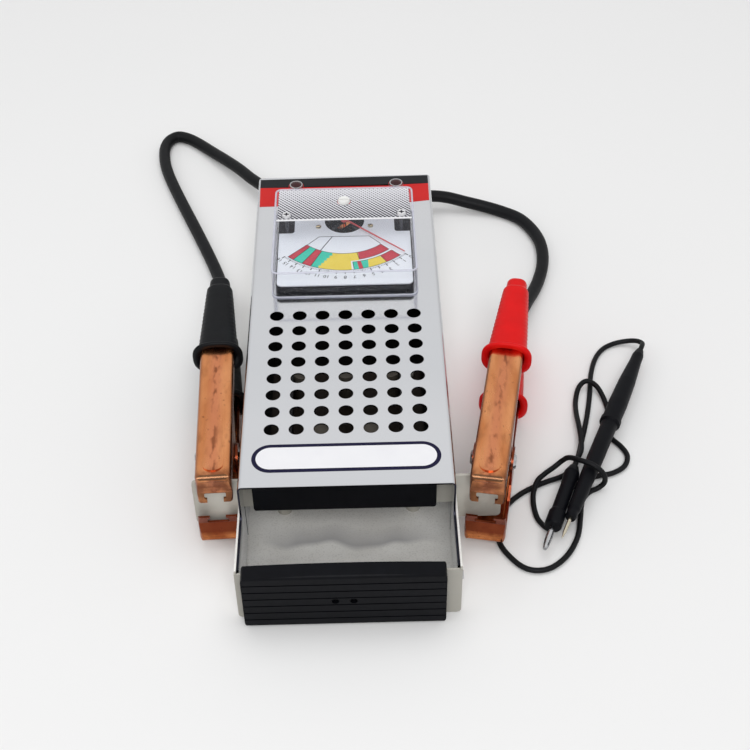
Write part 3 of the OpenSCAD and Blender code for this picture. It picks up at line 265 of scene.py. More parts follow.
def tray_look():
    """Dull sheet: a wavy darker band in the pocket, grains, a front face painted grey as shade, and painted
    shade inside the case.
    """
    m = material("tray_steel", srgb(250, 249, 245), 0.42, 0.03, srgb(234, 232, 227), mottle=34, blend=0.4,
                 rough_span=0.12, bump=0.02, grain=500, stretch=(1, 1.6, 1))
    x, y, z = coords(m)
    across = calc(m, "ABSOLUTE", x)
    # A wavy darker band across the pocket floor, fading towards the walls
    line = calc(m, "ADD", y, rise(m, cloud(m, 18, 2, (1, 0.4, 1)), 0.3, 0.7, 18))
    wavy_band = both(m, rise(m, line, -99, -95, 0.7), rise(m, line, -82, -95))
    paint(m, srgb(158, 157, 160), both(m, wavy_band, rise(m, across, 50, 28)))
    paint(m, srgb(196, 194, 188), rise(m, cloud(m, 1300, 2), 0.52, 0.7, 0.4))
    # Painted shade: the tray's front face is painted grey
    paint(m, srgb(172, 169, 160), rise(m, y, -149.6, -150.4))
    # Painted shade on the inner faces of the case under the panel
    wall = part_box("base_tray")[1][0] / MM
    under_panel = both(m, rise(m, y, -78, -55), rise(m, y, 149, 147))
    inner_face = both(m, rise(m, z, 0.3, 0.6), rise(m, across, wall - 0.3, wall - 0.6))
    paint(m, srgb(40, 39, 38), both(m, under_panel, inner_face))
    return m


def cover_look():
    """Polished sheet; faces turned to the front, which are the cut edges at the front and in the vents, are
    painted dark as edge and painted shade, and a band low along the hand pocket is painted dark.
    """
    m = material("panel_steel", srgb(217, 218, 221), 0.14, 1.0, srgb(208, 210, 214), mottle=14,
                 rough_span=0.03, bump=0.003, grain=700, stretch=(0.06, 1, 1))
    # Faces turned to the front painted dark: partly the cut edge's own colour, partly painted shade
    paint(m, srgb(44, 44, 56), rise(m, normals(m)["Y"], -0.5, -0.7))
    _, y, z = coords(m)
    # A dark band painted low on the cover along the hand pocket
    paint(m, srgb(40, 40, 50), both(m, rise(m, y, -116, -118), rise(m, z, 27, 32)))
    return m


def screw_look():
    """Bright head with a cross recess painted dark as its shade; the shank is painted dark as shade in its
    boss.
    """
    m = material("screw_white", srgb(236, 236, 238), 0.3, 0.4, srgb(214, 214, 218), mottle=300)
    # Painted shade on the shank inside its boss
    paint(m, srgb(22, 22, 28), rise(m, coords(m)["Z"], 74.2, 73.6))
    # A cross recess on each head, painted dark as its shade
    for middle in SCREWS:
        x, y, _ = coords(m, (*middle, 0))
        x, y = calc(m, "ABSOLUTE", x), calc(m, "ABSOLUTE", y)
        for along_slot, across_slot in ((x, y), (y, x)):
            slot = both(m, rise(m, along_slot, 1.7, 1.4), rise(m, across_slot, 0.6, 0.4))
            paint(m, srgb(52, 52, 60), slot)
    return m


def clear_plastic():
    """Clear styrene: almost unseen on a face, milky where the wall turns to its edge."""
    m = blank("clear_plastic")
    p = shader(m)
    p["Base Color"].default_value = (*srgb(232, 234, 244), 1)
    p["Roughness"].default_value = 0.05
    facing = node(m, "LayerWeight", Blend=0.5).outputs["Facing"]
    feed(m, p["Alpha"], rise(m, calc(m, "POWER", facing, 4), 0, 1, 0.7, 0.01))
    return m


def knurl_look():
    """Painted highlights on the clear knurl's ridges over painted shade in its gaps, the painted light
    growing paler towards the far end.
    """
    m = blank("knurl")
    p = shader(m)
    x, y, _ = coords(m)
    ridges = calc(m, "SINE", calc(m, "MULTIPLY", calc(m, "ADD", x, y), KNURL))
    cuts = calc(m, "SINE", calc(m, "MULTIPLY", calc(m, "SUBTRACT", x, y), KNURL))
    waves = calc(m, "ADD", ridges, calc(m, "MULTIPLY", cuts, 0.45))
    far = calc(m, "MULTIPLY", calc(m, "SUBTRACT", y, 80), 0.018)
    level = calc(m, "ADD", calc(m, "MULTIPLY", waves, 0.36), calc(m, "ADD", far, 0.3))
    # Painted highlight on the ridges, painted shade in the gaps
    feed(m, p["Base Color"], ramp(m, level, 0.34, srgb(22, 23, 40), 0.6, srgb(218, 218, 224)))
    p["Roughness"].default_value = 0.22
    return m


panel_steel = cover_look()
tray_steel = tray_look()
dull_steel = material("dull_steel", srgb(192, 189, 180), 0.42, 0.2, srgb(172, 169, 160), mottle=34,
                      blend=0.3, rough_span=0.12, bump=0.012, grain=500, stretch=(1, 1.6, 1))
bright_steel = material("bright_steel", srgb(205, 206, 208), 0.24, 1.0, srgb(170, 171, 174), mottle=300)
screw_white = screw_look()
pale_steel = material("pale_steel", srgb(218, 211, 192), 0.24, 1.0, srgb(190, 182, 160), mottle=300)
dark_steel = material("dark_steel", srgb(96, 97, 100), 0.4, 1.0, mottle=300)
black_plastic = material("black_plastic", srgb(11, 12, 17), 0.45, 0.0, srgb(7, 8, 12), mottle=160,
                         bump=0.008, grain=1600, Specular_IOR_Level=0.1)
gloss_black = material("gloss_black", srgb(8, 8, 14), 0.2, 0.0, srgb(5, 5, 9), mottle=120,
                       Specular_IOR_Level=0.08)
copper = copper_look("copper", srgb(222, 150, 104), srgb(186, 112, 68), srgb(84, 44, 26))
shaded_copper_lower = lower_jaw_look()
brass = material("brass", srgb(214, 190, 130), 0.25, 1.0, srgb(186, 156, 92), mottle=260)
rubber = material("rubber", srgb(16, 17, 20), 0.5, 0.0, srgb(11, 12, 14), mottle=130, bump=0.012, grain=900,
                  Specular_IOR_Level=0.16)
black_vinyl = material("black_vinyl", srgb(15, 17, 20), 0.44, 0.0, srgb(10, 11, 14), mottle=110, bump=0.012,
                       grain=700, Specular_IOR_Level=0.14)
red_vinyl = material("red_vinyl", srgb(220, 10, 12), 0.42, 0.0, srgb(208, 8, 10), mottle=90, bump=0.012,
                     grain=700, Specular_IOR_Level=0.18)
# Inside the case: the board's brown is painted darker and the pale ceramic posts dark grey, as painted shade
board = material("board", srgb(46, 36, 28), 0.6, mottle=200)
ceramic = material("ceramic", srgb(92, 86, 78), 0.6, mottle=200)
clear = clear_plastic()
knurl = knurl_look()
edge_clear = material("edge_clear", srgb(226, 228, 240), 0.15, 0.0, srgb(212, 214, 230), mottle=200,
                      Alpha=0.55)
dial_white = material("dial_white", srgb(229, 233, 241), 0.5, 0.0, srgb(222, 227, 236), mottle=50)
button_white = material("button_white", srgb(240, 240, 238), 0.35, 0.0, srgb(226, 226, 224), mottle=200)
needle_red = material("needle_red", srgb(212, 92, 98), 0.4, mottle=200)
lamp_red = material("lamp_red", srgb(58, 8, 14), 0.1, 0.0, srgb(44, 5, 10), mottle=200, rough_span=0.03,
                    Specular_IOR_Level=0.4)
jack_red = material("jack_red", srgb(186, 24, 28), 0.3, mottle=200)
PRINT = {"Specular_IOR_Level": 0.15}
print_red = material("print_red", srgb(204, 40, 38), 0.42, 0.0, srgb(196, 34, 34), mottle=60, **PRINT)
print_black = material("print_black", srgb(28, 29, 32), 0.42, 0.0, srgb(23, 24, 27), mottle=60, **PRINT)
print_navy = material("print_navy", srgb(20, 18, 52), 0.4, 0.0, srgb(16, 14, 44), mottle=60, **PRINT)
print_white = material("print_white", srgb(238, 238, 241), 0.4, 0.0, srgb(232, 232, 236), mottle=60)
ink = material("ink", srgb(18, 18, 26), 0.5, mottle=200, **PRINT)
scale_red = material("scale_red", srgb(192, 66, 78), 0.5, mottle=150, dark=srgb(184, 58, 72), **PRINT)
scale_green = material("scale_green", srgb(66, 198, 174), 0.5, mottle=150, dark=srgb(58, 188, 164), **PRINT)
scale_yellow = material("scale_yellow", srgb(230, 208, 90), 0.5, mottle=150, dark=srgb(222, 198, 78), **PRINT)

LOOKS = {
    panel_steel: ["front_cover"],
    tray_steel: ["base_tray"],
    dull_steel: ["clamp_rest", "board_posts"],
    screw_white: ["meter_cover_screws"],
    pale_steel: ["dial_screws", "probe_needle"],
    bright_steel: ["cover_screws", "meter_nuts", "jack_nut", "black_rivet", "red_rivet", "plug_pin",
                   "meter_bridge", "lamp_bezels"],
    dark_steel: ["grip_screws", "magnet", "black_spring", "red_spring", "guide_pins", "pin_clips",
                 "return_springs", "load_strip"],
    black_plastic: ["handle_grip", "push_bar", "probe_shaft", "probe_cap", "plug_body"],
    gloss_black: ["meter_base"],
    copper: ["contact_bridge", "moving_coil"],
    upper_jaw_look("black"): ["black_upper_jaw"],
    upper_jaw_look("red"): ["red_upper_jaw"],
    shaded_copper_lower: ["black_lower_jaw", "red_lower_jaw"],
    brass: ["contact_posts", "meter_studs"],
    board: ["load_board"],
    ceramic: ["strip_posts"],
    clear: ["meter_cover"],
    dial_white: ["meter_dial"],
    button_white: ["zero_adjuster"],
    needle_red: ["needle"],
    lamp_red: ["lamps"],
    jack_red: ["test_jack"],
    rubber: ["black_gland", "red_gland"],
}
for look, names in LOOKS.items():
    for n in names:
        N[n].data.materials.clear()
        N[n].data.materials.append(look)


# Rounded edges on CAD pieces
def soften(names, width):
    for n in names:
        b = N[n].modifiers.new("edge", "BEVEL")
        b.width = width * MM
        b.segments = 3
        b.limit_method = "ANGLE"
        b.angle_limit = math.radians(35)
        b.harden_normals = False


soften(["black_upper_jaw", "red_upper_jaw", "black_lower_jaw", "red_lower_jaw"], 0.55)
soften(["handle_grip", "push_bar"], 0.5)


def add(name, data, look, body="housing"):
    o = placed(name, data)
    o.data.materials.append(look)
    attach(o, body)
    return o


def mesh_of(name, bm, smooth=True):
    me = bpy.data.meshes.new(name)
    bm.normal_update()
    bm.to_mesh(me)
    bm.free()
    for f in me.polygons:
        f.use_smooth = smooth
    return me


def curve_of(name, lines, closed=True, dimensions="3D"):
    c = bpy.data.curves.new(name, "CURVE")
    c.dimensions = dimensions
    for line in lines:
        s = c.splines.new("POLY")
        s.points.add(len(line) - 1)
        s.use_cyclic_u = closed
        for q, v in zip(s.points, line):
            q.co = (*(Vector(v).to_3d() * MM), 1)
    return c


def baked(o):
    """The mesh of a curve or text object where it stands; the object itself goes."""
    bpy.context.view_layer.update()
    me = bpy.data.meshes.new_from_object(o.evaluated_get(bpy.context.evaluated_depsgraph_get()))
    me.transform(o.matrix_world)
    bpy.data.objects.remove(o)
    return me


# Cables and the test lead, along the routes of their CAD solids
CABLE, WIRE = 8, 3
GRIP_END, GRIP_AXIS = 124, 19.8
PROBE, PLUG = ((118, -99.6, 9.4), -24), ((108.2, -104, 8), -21.5)


def along(start, degrees, out):
    a = math.radians(degrees)
    return [start[0] - out * math.sin(a), start[1] + out * math.cos(a), start[2]]


def sleeve_end(side, out):
    (x, y, z), yaw = RIVET[side]
    return along((x, y, z - GRIP_AXIS), yaw, GRIP_END + out)


def smooth_line(points, steps):
    """A Catmull-Rom curve through the points."""
    p = [Vector(q) for q in points]
    out = []
    for i in range(len(p) - 1):
        a, b, c, d = p[max(i - 1, 0)], p[i], p[i + 1], p[min(i + 2, len(p) - 1)]
        for s in range(steps):
            t = s / steps
            out.append(b + (c - a) * t / 2 + (2 * a - 5 * b + 4 * c - d) * t * t / 2
                       + (3 * b - a - 3 * c + d) * t ** 3 / 2)
    return out + [p[-1]]


def cord_piece(name, route, steps, diameter, cad_node):
    """The cord and its length in metres."""
    line = smooth_line(route, steps)
    c = curve_of(name, [line], closed=False)
    c.bevel_depth = diameter / 2 * MM
    c.bevel_resolution = 6
    c.use_fill_caps = True
    piece = add(name, c, rubber)
    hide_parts(cad_node)
    return piece, sum((b - a).length for a, b in zip(line, line[1:])) * MM


black_route = [
    [-40, 166, 16], [-40, 174, 16], [-42, 184, 15], [-47, 196, 13.5], [-56, 207, 12], [-66, 220, 10.5],
    [-76, 235, 9], [-87, 250, 7], [-97, 263, 5], [-107, 275, 4], [-116, 283, 4], [-124, 286, 4],
    [-130, 281, 4], [-132.5, 271, 4], [-131.5, 257, 4], [-128, 241, 4], [-121, 220, 4], [-112, 196, 4],
    [-102, 170, 4], [-93, 146, 4], [-85, 123, 4.2], [-79.5, 102, 5.5], [-76, 82, 8.5],
    sleeve_end("black", 10), sleeve_end("black", 0)]
red_route = [
    [40, 166, 16], [40, 173, 16], [43, 182, 15], [50, 189.5, 13.5], [60, 192.5, 12], [70, 192.5, 10.5],
    [82, 190.5, 8], [95, 188, 5.5], [107, 183.5, 4], [118, 175, 4], [125, 163, 4], [129, 149, 4],
    [129.5, 135, 4], [127.5, 121, 4], [123.5, 107, 4.2], [118.5, 94, 5.5], [112.5, 80, 8],
    sleeve_end("red", 10), sleeve_end("red", 0)]
lead_route = [
    along(*PROBE, 144), along(*PROBE, 148), [179.5, 40.5, 7.8], [177, 45.5, 5.4], [171.5, 48, 3.2],
    [164, 47.5, 1.8], [156.5, 43, 1.6], [150.5, 34, 1.6], [146, 20, 1.6], [143, 3, 1.6], [139.5, -13, 1.6],
    [136, -26, 1.6], [133, -36, 1.6], [130, -46, 1.6], [126.5, -54.5, 1.6], [119.5, -61.5, 1.6],
    [107, -67, 1.6], [95, -74, 1.6], [86, -83, 1.6], [79.5, -96, 1.6], [80, -109, 1.6], [85, -119, 1.6],
    [91.5, -126, 1.6], [99, -128, 1.6], [107, -125.5, 1.6], [115.5, -117.5, 1.6], [122, -105.5, 1.6],
    [125, -93, 1.6], [127.5, -81, 1.6], [132, -74.5, 1.6], [138, -71.5, 2.2], [141, -70.5, 6],
    [139.5, -69.8, 12], [134, -67.3, 16], [127.5, -63.5, 16], [122.2, -58.5, 13], [119, -56.5, 8.5],
    [114.5, -58.8, 6], [109, -63, 5.4], [104, -68.5, 5.2], [101.2, -76, 3], [100.8, -85, 1.6],
    [102.5, -94, 1.6], [107.5, -100, 1.6], [112.8, -96, 1.6], [114.5, -88, 1.6], [117, -79, 1.6],
    [121.5, -71.5, 1.6], [129, -67, 1.6], [138, -62.5, 1.6], [147, -60.5, 1.6], [154.5, -55.5, 1.6],
    [157.5, -47.5, 1.6], [155, -40, 1.6], [150.5, -33, 1.6], [149.5, -24, 1.6], [151.5, -14, 1.6],
    [151, -3, 2.2], [147.5, 7, 4.4], [142, 11, 5.2], [137, 7.5, 3.6], [134, -2, 1.8], [132.8, -13, 3],
    [132.5, -25, 5.2], [132.3, -36, 5.6], [131, -47, 6.8], along(*PLUG, 53), along(*PLUG, 49.5),
    along(*PLUG, 46)]
black_lead, black_length = cord_piece("black_lead", black_route, 6, CABLE, "black_cable")
red_lead, red_length = cord_piece("red_lead", red_route, 6, CABLE, "red_cable")
test_lead, test_length = cord_piece("test_lead", lead_route, 5, WIRE, "lead_wire")

# Dipped grips over the clamps' handles: distance from the rivet, half width, lower and upper height.
# The rows start inside the mouth, turn round the lip and run along the outside to the closed end.
GRIP = [(67, 9.4, 11.4, 25.0), (61.6, 9.6, 10.9, 25.2), (60.7, 10.1, 10.4, 25.7), (60.1, 11.4, 9.2, 27.0),
        (60.0, 12.6, 8.0, 28.2), (60.35, 13.6, 7.1, 29.1), (61.1, 14.05, 6.65, 29.55),
        (61.9, 13.7, 7.0, 29.2), (62.5, 12.8, 7.9, 28.3), (62.9, 11.8, 8.9, 27.2), (63.6, 11.2, 9.5, 26.7),
        (66, 10.95, 9.75, 26.6), (90, 9.3, 11.3, 26.6), (113, 7.75, 12.6, 26.6), (115.4, 7.55, 12.8, 26.5),
        (116.2, 7.2, 13.1, 26.2), (116.6, 6.4, 13.6, 25.8), (118, 6.1, 13.5, 25.8), (122.8, 5.9, 13.6, 25.7),
        (123.6, 5.6, 13.9, 25.4), (123.95, 5.0, 14.5, 24.8), (GRIP_END, 4.1, 15.4, 23.9)]
# Where the lip turns outwards, the rows' spacing, the points round a row and how square it is
GRIP_LIP, GRIP_ROW, GRIP_AROUND, GRIP_SQUARE = 60.05, 0.8, 88, 2.7
# Ribs: where they run and fade, their depth, pitch and slant, their share in height, and where flanks start
RIB_FROM, RIB_TO, RIB_FADE, RIB_DEPTH, RIB_PITCH, RIB_SLANT, RIB_UP = 67, 113, 3, 0.17, 3.2, 5.5, 0.4
FLANK = 0.55


def grip_rows():
    rows = []
    for a, b in zip(GRIP, GRIP[1:]):
        n = max(1, int(abs(b[0] - a[0]) / GRIP_ROW))
        rows += [[u + (v - u) * k / n for u, v in zip(a, b)] for k in range(n)]
    return rows + [list(GRIP[-1])]


def limited(v):
    return min(1.0, max(0.0, v))


def grip_mesh(name, side, up):
    origin, yaw = RIVET[side]
    place = Matrix.Translation(Vector(origin)) @ turned(yaw, "Z")
    bm = bmesh.new()
    rings = []
    outside = False
    for y, hw, low, high in grip_rows():
        outside = outside or y < GRIP_LIP
        fade = limited((y - RIB_FROM) / RIB_FADE) * limited((RIB_TO - y) / RIB_FADE) if outside else 0
        hh, mid = (high - low) / 2, (high + low) / 2
        ring = []
        for k in range(GRIP_AROUND):
            a = 2 * math.pi * k / GRIP_AROUND
            ca, sa = math.cos(a), math.sin(a)
            r = (abs(ca) ** GRIP_SQUARE + abs(sa) ** GRIP_SQUARE) ** (-1 / GRIP_SQUARE)
            flank = max(0.0, abs(ca) - FLANK) / (1 - FLANK)
            rib = RIB_DEPTH * flank * fade * math.sin(2 * math.pi * (y + RIB_SLANT * sa) / RIB_PITCH)
            p = Vector((ca * r * (hw + rib), y, up * (mid + sa * r * (hh + rib * RIB_UP))))
            ring.append(bm.verts.new(place @ p * MM))
        rings.append(ring)
    for a, b in zip(rings, rings[1:]):
        for k in range(GRIP_AROUND):
            after = (k + 1) % GRIP_AROUND
            bm.faces.new((a[k], a[after], b[after], b[k]))
    bm.faces.new(rings[-1])
    bmesh.ops.recalc_face_normals(bm, faces=bm.faces)
    return mesh_of(name, bm)


for side, look in (("black", black_vinyl), ("red", red_vinyl)):
    for level, up, body in (("lower", -1, "housing"), ("upper", 1, side + "_clamp_top")):
        name = f"{side}_{level}_grip"
        add(name, grip_mesh(name, side, up), look, body)
        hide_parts(f"{side}_{level}_sleeve")


# Springs: smooth-shaded copies of the wound CAD springs, which are hidden; the clamps' coils are baked where
# they stand and the switch's coils go with the housing
def spring(name, wound):
    o = placed(name, N[wound].data.copy())
    for f in o.data.polygons:
        f.use_smooth = True
    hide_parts(wound)
    return o


coils = {}
for side, ((x, y, z), _) in RIVET.items():
    coils[side] = spring(f"{side}_coil", f"{side}_spring")
    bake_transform(coils[side])

switch_coils = spring("switch_coils", "return_springs")
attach(switch_coils, "housing")
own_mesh(switch_coils)


# Flat printed pieces: outlines with holes, lifted a little from what they lie on
FOIL = 0.08


def plate(name, loops, z, look, thick=FOIL):
    c = curve_of(name, loops, dimensions="2D")
    c.fill_mode = "BOTH"
    c.extrude = thick / 2 * MM
    o = placed(name + "_outline", c)
    o.location.z = (z + thick / 2) * MM
    me = baked(o)
    me.name = name
    me.materials.clear()
    return add(name, me, look)


def arc(cx, cy, r, a0, a1, n=24):
    angles = [math.radians(a0 + (a1 - a0) * k / n) for k in range(n + 1)]
    return [(cx + r * math.cos(a), cy + r * math.sin(a)) for a in angles]


def stadium(cx, cy, w, h):
    r = h / 2
    return arc(cx + w / 2 - r, cy, r, -90, 90) + arc(cx - w / 2 + r, cy, r, 90, 270)


def tilted(points, slope=0.012):
    return [(x, y + slope * x) for x, y in points]


LABEL_Y, LABEL_W, LABEL_H, LABEL_EDGE = -96.7, 97, 19.6, 2.2
plate("name_plate_edge", [stadium(0, LABEL_Y, LABEL_W, LABEL_H)], PANEL, print_navy)
plate("name_plate", [stadium(0, LABEL_Y, LABEL_W - 2 * LABEL_EDGE, LABEL_H - 2 * LABEL_EDGE)], PANEL + FOIL,
      print_white, 0.05)

LAMPS, LAMP_R = ((-30.8, 142.5), (32.8, 142.5)), 4.7
lamp_holes = [arc(*middle, LAMP_R, 0, 360, 32)[:-1] for middle in LAMPS]
plate("band_black", [tilted([(-53.6, 141.6), (53.4, 141.6), (53.4, 150.6), (-53.6, 150.6)])] + lamp_holes,
      PANEL, print_black)
plate("band_red", [tilted([(-53.2, 121.4), (38, 121.4), (53.2, 123.4), (53.4, 141.6), (-53.6, 141.6)])]
      + lamp_holes, PANEL, print_red)

# Dial: coloured fields round the needle's pivot, ticks and plain numbers; angles are measured from -Y
PIVOT, DIAL_THICK, FIELD_THICK = (0, 95.5), 0.8, 0.03
# Radii: inner edge, outer edge of the inner red field, inner edge of the small scale, outer edge
R_IN, R_RED, R_SMALL, R_OUT = 32.1, 39.0, 40.6, 47.8
# Borders of the fields at the left and in the small scale, and ends of the stairs from green to yellow
BORDERS, SMALL_BORDERS = (-44.6, -39.6, -31.8, -24.8), (6.6, 10.2, 13.4)
STAIR, SMALL_STAIR = (-10.2, -18.8), (19.6, 17.0)
# Ticks from 0 to 16, their radii and the widths of the printed lines
FIRST_TICK, TICK_STEP, TICKS = 47, 5.84, 17
TICK_FOOT, TICK_SHORT, TICK_LONG = 48.6, 49.8, 51.2
BOLD, PLAIN, THIN, HAIR = 0.6, 0.4, 0.35, 0.28
INK_TOP, INK_THICK = DIAL + 0.05, 0.02
# Height of the numbers, and their radius in the middle of the scale and towards its ends
NUMBER_SIZE, NUMBER_R, NUMBER_R_ENDS, ENDS_FROM = 3.7, 54.4, 53.2, 30


def polar(r, a):
    return (PIVOT[0] + r * math.sin(math.radians(a)), PIVOT[1] - r * math.cos(math.radians(a)))


def sweep(r, start, count, step=1):
    """Points a degree apart, backwards if step is -1."""
    return [polar(r, start + step * k) for k in range(count)]


def field(r0, r1, a0, a1, b0=None, b1=None):
    """A field between two radii; a0 to a1 at the inner edge and b0 to b1 at the outer edge."""
    b0, b1 = a0 if b0 is None else b0, a1 if b1 is None else b1
    n = 16
    return ([polar(r0, a0 + (a1 - a0) * k / n) for k in range(n + 1)]
            + [polar(r1, b1 + (b0 - b1) * k / n) for k in range(n + 1)])


def steps_edge(r0, r1, a0, a1, count):
    """A stair of square steps from the inner to the outer radius."""
    (x0, y0), (x1, y1) = polar(r0, a0), polar(r1, a1)
    dx, dy = (x1 - x0) / count, (y1 - y0) / count
    return [(x0 + dx * (k + side), y0 + dy * k) for k in range(count) for side in (0, 1)] + [(x1, y1)]


# Ends of the dial plate beside the movement's opening
HOLE_R, DIAL_END, NOTCH_X, RIM_TO = 12, 91.7, 30.2, 25
hole_from = math.degrees(math.asin((DIAL_END - PIVOT[1]) / HOLE_R))
for name, side in (("dial_end_left", -1), ("dial_end_right", 1)):
    rim = [(side * x, y) for x, y in arc(*PIVOT, HOLE_R, hole_from, RIM_TO, 8)]
    notch = [(side * NOTCH_X, rim[-1][1]), (side * NOTCH_X, DIAL_END)]
    plate(name, [rim + notch], DIAL - DIAL_THICK, dial_white, DIAL_THICK)

stair = steps_edge(R_IN, R_OUT, *STAIR, 6)
small_stair = steps_edge(R_SMALL, R_OUT, *SMALL_STAIR, 3)
red_from, green_from, green_to, red_to = BORDERS
small_from, small_red_from, small_red_to = SMALL_BORDERS
fields = {
    "scale_green": (scale_green, [
        field(R_IN, R_OUT, green_from, green_to),
        sweep(R_IN, red_to, 14) + stair + sweep(R_OUT, STAIR[1], 7, -1),
        field(R_SMALL, R_OUT, small_from, small_red_from),
        sweep(R_SMALL, small_red_to, 6) + small_stair + sweep(R_OUT, SMALL_STAIR[1], 5, -1)]),
    "scale_red": (scale_red, [
        field(R_IN, R_OUT, red_from, green_from),
        field(R_IN, R_OUT, green_to, red_to),
        field(R_IN, R_RED, 14, 42.2, 12.9, 42.4),
        field(R_SMALL, R_OUT, small_red_from, small_red_to),
        field(R_SMALL, R_OUT, 31.0, 43.0, 31.4, 43.8)]),
    "scale_yellow": (scale_yellow, [
        sweep(R_IN, -10, 25) + [polar(R_RED + 0.6, 12.6), polar(R_RED + 0.6, 5.2), polar(R_OUT, 5.0)]
        + sweep(R_OUT, 4, 23, -1) + stair[::-1],
        sweep(R_SMALL, SMALL_STAIR[0], 12) + sweep(R_OUT, 31.4, 15, -1) + small_stair[::-1]]),
}
for name, (look, loops) in fields.items():
    for k, loop in enumerate(loops):
        plate(f"{name}_{k}", [loop], DIAL, look, FIELD_THICK)


def stroke(bm, a, b, w):
    """A printed line from a to b, as a thin box."""
    a, b = Vector((*a, 0)), Vector((*b, 0))
    n = Vector((0, 0, 1)).cross((b - a).normalized()) * w / 2
    corners = (a - n, b - n, b + n, a + n)
    low, high = ([bm.verts.new((q + Vector((0, 0, z))) * MM) for q in corners]
                 for z in (INK_TOP - INK_THICK, INK_TOP))
    bm.faces.new(low[::-1])
    bm.faces.new(high)
    for k in range(4):
        bm.faces.new((low[k], low[(k + 1) % 4], high[(k + 1) % 4], high[k]))


def arc_stroke(bm, r, a0, a1):
    """A printed arc, in strokes of half a degree."""
    for k in range(int((a1 - a0) * 2)):
        stroke(bm, polar(r, a0 + k / 2), polar(r, a0 + k / 2 + 0.5), THIN)


lines = bmesh.new()
for v in range(TICKS):
    a = FIRST_TICK - TICK_STEP * v
    stroke(lines, polar(TICK_FOOT, a), polar(TICK_LONG, a), BOLD)
    if v < TICKS - 1:
        for k in range(1, 5):
            fifth = a - TICK_STEP * k / 5
            stroke(lines, polar(TICK_FOOT, fifth), polar(TICK_SHORT, fifth), HAIR)
for r, a0, a1 in ((R_OUT, -44.5, 44), (R_IN, -44.5, 42), (R_RED, 13, 42), (R_SMALL, small_from, 43)):
    arc_stroke(lines, r, a0, a1)
for a in BORDERS:
    stroke(lines, polar(R_IN, a), polar(R_OUT, a), PLAIN)
for a, b in ((13, 12.9), (42.2, 42.4)):
    stroke(lines, polar(R_IN, a), polar(R_RED, b), THIN)
for a in (small_from, 31.2, 43.2):
    stroke(lines, polar(R_SMALL, a), polar(R_OUT, a), THIN)
box_corners = [(-22.1, 72.6), (-15.3, 80.2), (14.8, 80.0), (21.5, 72.3)]
for a, b in zip(box_corners, box_corners[1:]):
    stroke(lines, a, b, PLAIN)
stroke(lines, (-7.4, 80.1), (-14.6, 66.4), 0.5)
add("scale_lines", mesh_of("scale_lines", lines, False), ink)


def number(text, x, y, degrees):
    c = bpy.data.curves.new("number", "FONT")
    c.body = text
    c.size = NUMBER_SIZE * MM
    c.align_x, c.align_y = "CENTER", "CENTER"
    c.extrude = INK_THICK / 2 * MM
    o = placed("number", c)
    o.matrix_world = Matrix.Translation(at(x, y, INK_TOP)) @ turned(degrees, "Z")
    return baked(o)


digits = bmesh.new()
for v in range(TICKS):
    a = FIRST_TICK - TICK_STEP * v
    r = NUMBER_R if abs(a) < ENDS_FROM else NUMBER_R_ENDS
    me = number(str(v), *polar(r, a), 180 + a)
    digits.from_mesh(me)
    bpy.data.meshes.remove(me)
add("scale_numbers", mesh_of("scale_numbers", digits, False), ink)

# Knurled band on the far part of the meter's clear top
BAND_X, BAND_Y, BAND_STEP, BAND_COLS, BAND_ROWS = -39.6, 81.6, 0.44, 181, 70
BAND_LIFT, BAND_THICK, RIDGE, CUT, DEEPEST = 0.12, 0.1, 0.16, 0.07, -0.1
RIDGES_X, RIDGES_Y = 39.2, (81.9, 111.6)
ZERO_HOLE, SCREW_HOLE = 4.1, 3.1
band = bmesh.new()
ys = [BAND_Y + BAND_STEP * j for j in range(BAND_ROWS)]
grid = []
for x in (BAND_X + BAND_STEP * i for i in range(BAND_COLS)):
    col = []
    for y in ys:
        inside = abs(x) < RIDGES_X and RIDGES_Y[0] < y < RIDGES_Y[1]
        h = RIDGE * math.sin((x + y) * KNURL) + CUT * math.sin((x - y) * KNURL) if inside else 0
        col.append(band.verts.new(at(x, y, TOP + BAND_LIFT + max(h, DEEPEST))))
    grid.append(col)
for a, b in zip(grid, grid[1:]):
    for j in range(BAND_ROWS - 1):
        band.faces.new((a[j], b[j], b[j + 1], a[j + 1]))
holes = [(*ZERO, ZERO_HOLE)] + [(*middle, SCREW_HOLE) for middle in SCREWS]
drop = [f for f in band.faces if any((f.calc_center_median() / MM - Vector((x, y, TOP))).xy.length < r
                                     for x, y, r in holes)]
bmesh.ops.delete(band, geom=drop, context="FACES")
meter_band = add("meter_band", mesh_of("meter_band", band), knurl)
thickness = meter_band.modifiers.new("body", "SOLIDIFY")
thickness.thickness = BAND_THICK * MM
thickness.offset = -1
# A white strip at the band's near edge: a painted highlight along the edge of the knurl
band_edge = plate("meter_band_edge", [[(-40.4, 80.4), (40.4, 80.4), (40.4, 81.9), (-40.4, 81.9)]], TOP,
                  print_white, 0.2)
for o in (meter_band, band_edge):
    o.visible_shadow = False


# Light caught along the clear cover's foot and upper edge
def rod(name, line, radius):
    c = curve_of(name, [line])
    c.bevel_depth = radius * MM
    c.bevel_resolution = 3
    return add(name, c, edge_clear)


def round_box(lo, hi, r, z):
    (x0, y0), (x1, y1) = lo, hi
    corners = ((x1 - r, y0 + r, -90), (x1 - r, y1 - r, 0), (x0 + r, y1 - r, 90), (x0 + r, y0 + r, 180))
    return [(x, y, z) for cx, cy, a in corners for x, y in arc(cx, cy, r, a, a + 90, 8)]


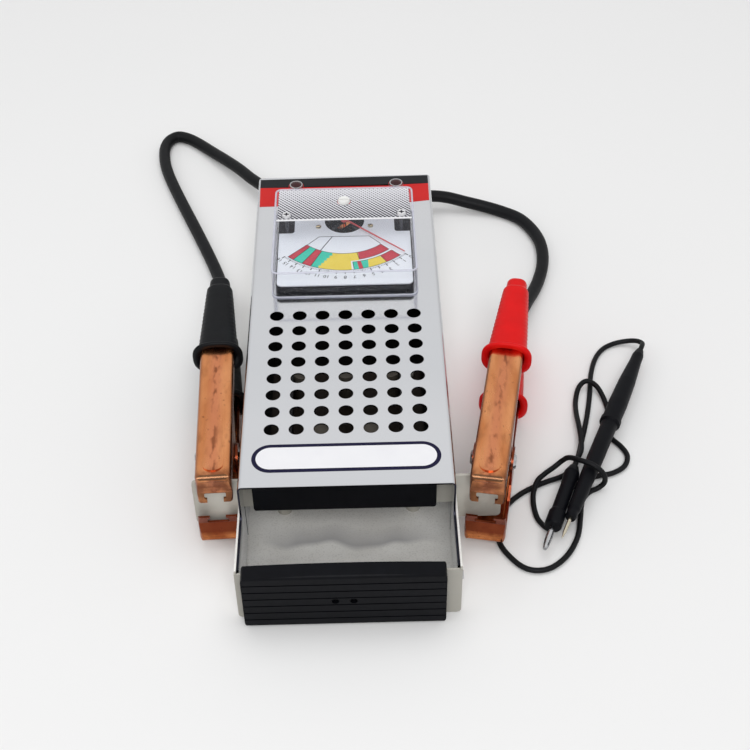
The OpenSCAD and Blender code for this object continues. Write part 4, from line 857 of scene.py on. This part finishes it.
COVER_LO, COVER_HI, COVER_R = (-42, 31.2), (42, 114), 4
FOOT_UP, FOOT_R, RIM_R = 0.45, 0.5, 0.6
rod("cover_foot", round_box(COVER_LO, COVER_HI, COVER_R, PANEL + FOOT_UP), FOOT_R)
rod("cover_rim", round_box([v + RIM_R for v in COVER_LO], [v - RIM_R for v in COVER_HI], COVER_R - RIM_R,
                           TOP - RIM_R), RIM_R)

# Studio, in metres: a pale floor, a pale sky that lights less than it shows, and three soft lamps
FLOOR = 6
floor_mesh = bpy.data.meshes.new("floor")
floor_mesh.from_pydata([(-FLOOR, -FLOOR, 0), (FLOOR, -FLOOR, 0), (FLOOR, FLOOR, 0), (-FLOOR, FLOOR, 0)], [],
                       [(0, 1, 2, 3)])
floor = placed("floor", floor_mesh)
floor.location.z = -0.0002
floor.data.materials.append(material("floor", (0.87, 0.87, 0.87), 0.9, mottle=2, dark=(0.86, 0.86, 0.86),
                                     Specular_IOR_Level=0.0))

SKY_LIGHT, SKY_LOW, SKY_HIGH = 0.52, 0.6, 0.95
world = bpy.data.worlds.new("studio")
scene.world = world
world.use_nodes = True
ray = node(world, "LightPath").outputs
seen = calc(world, "MAXIMUM", ray["Is Camera Ray"], ray["Is Transmission Ray"])
seen = calc(world, "MAXIMUM", seen, ray["Is Glossy Ray"])
heading = node(world, "TexCoord").outputs["Generated"]
height = node(world, "SeparateXYZ", Vector=heading).outputs["Z"]
shown = rise(world, height, 0, 0.75, SKY_HIGH, SKY_LOW)
sky = world.node_tree.nodes["Background"].inputs
sky["Color"].default_value = (1, 1, 1, 1)
feed(world, sky["Strength"], node(world, "Mix", Factor=seen, A=SKY_LIGHT, B=shown).outputs["Result"])


def lamp(name, where, aim, size, watts, mirrored=True):
    """A soft lamp; one that isn't mirrored gives light but isn't seen in shiny surfaces."""
    light = bpy.data.lights.new(name, "AREA")
    light.shape = "RECTANGLE"
    light.size, light.size_y = size
    light.energy = watts
    o = placed(name, light)
    o.location = where
    o.rotation_mode = "QUATERNION"
    o.rotation_quaternion = (Vector(aim) - Vector(where)).to_track_quat("-Z", "Y")
    o.visible_glossy = mirrored


lamp("overhead", (0.15, 0.25, 1.9), (0, 0.06, 0), (1.7, 1.2), 9.5, mirrored=False)
lamp("left", (-1.2, -0.3, 1.0), (0, 0, 0.03), (0.9, 0.9), 2.4)
lamp("front", (0.1, -2.1, 2.3), (0, -0.1, 0.02), (1.5, 1.0), 32.0)

scene.view_settings.view_transform = "Standard"
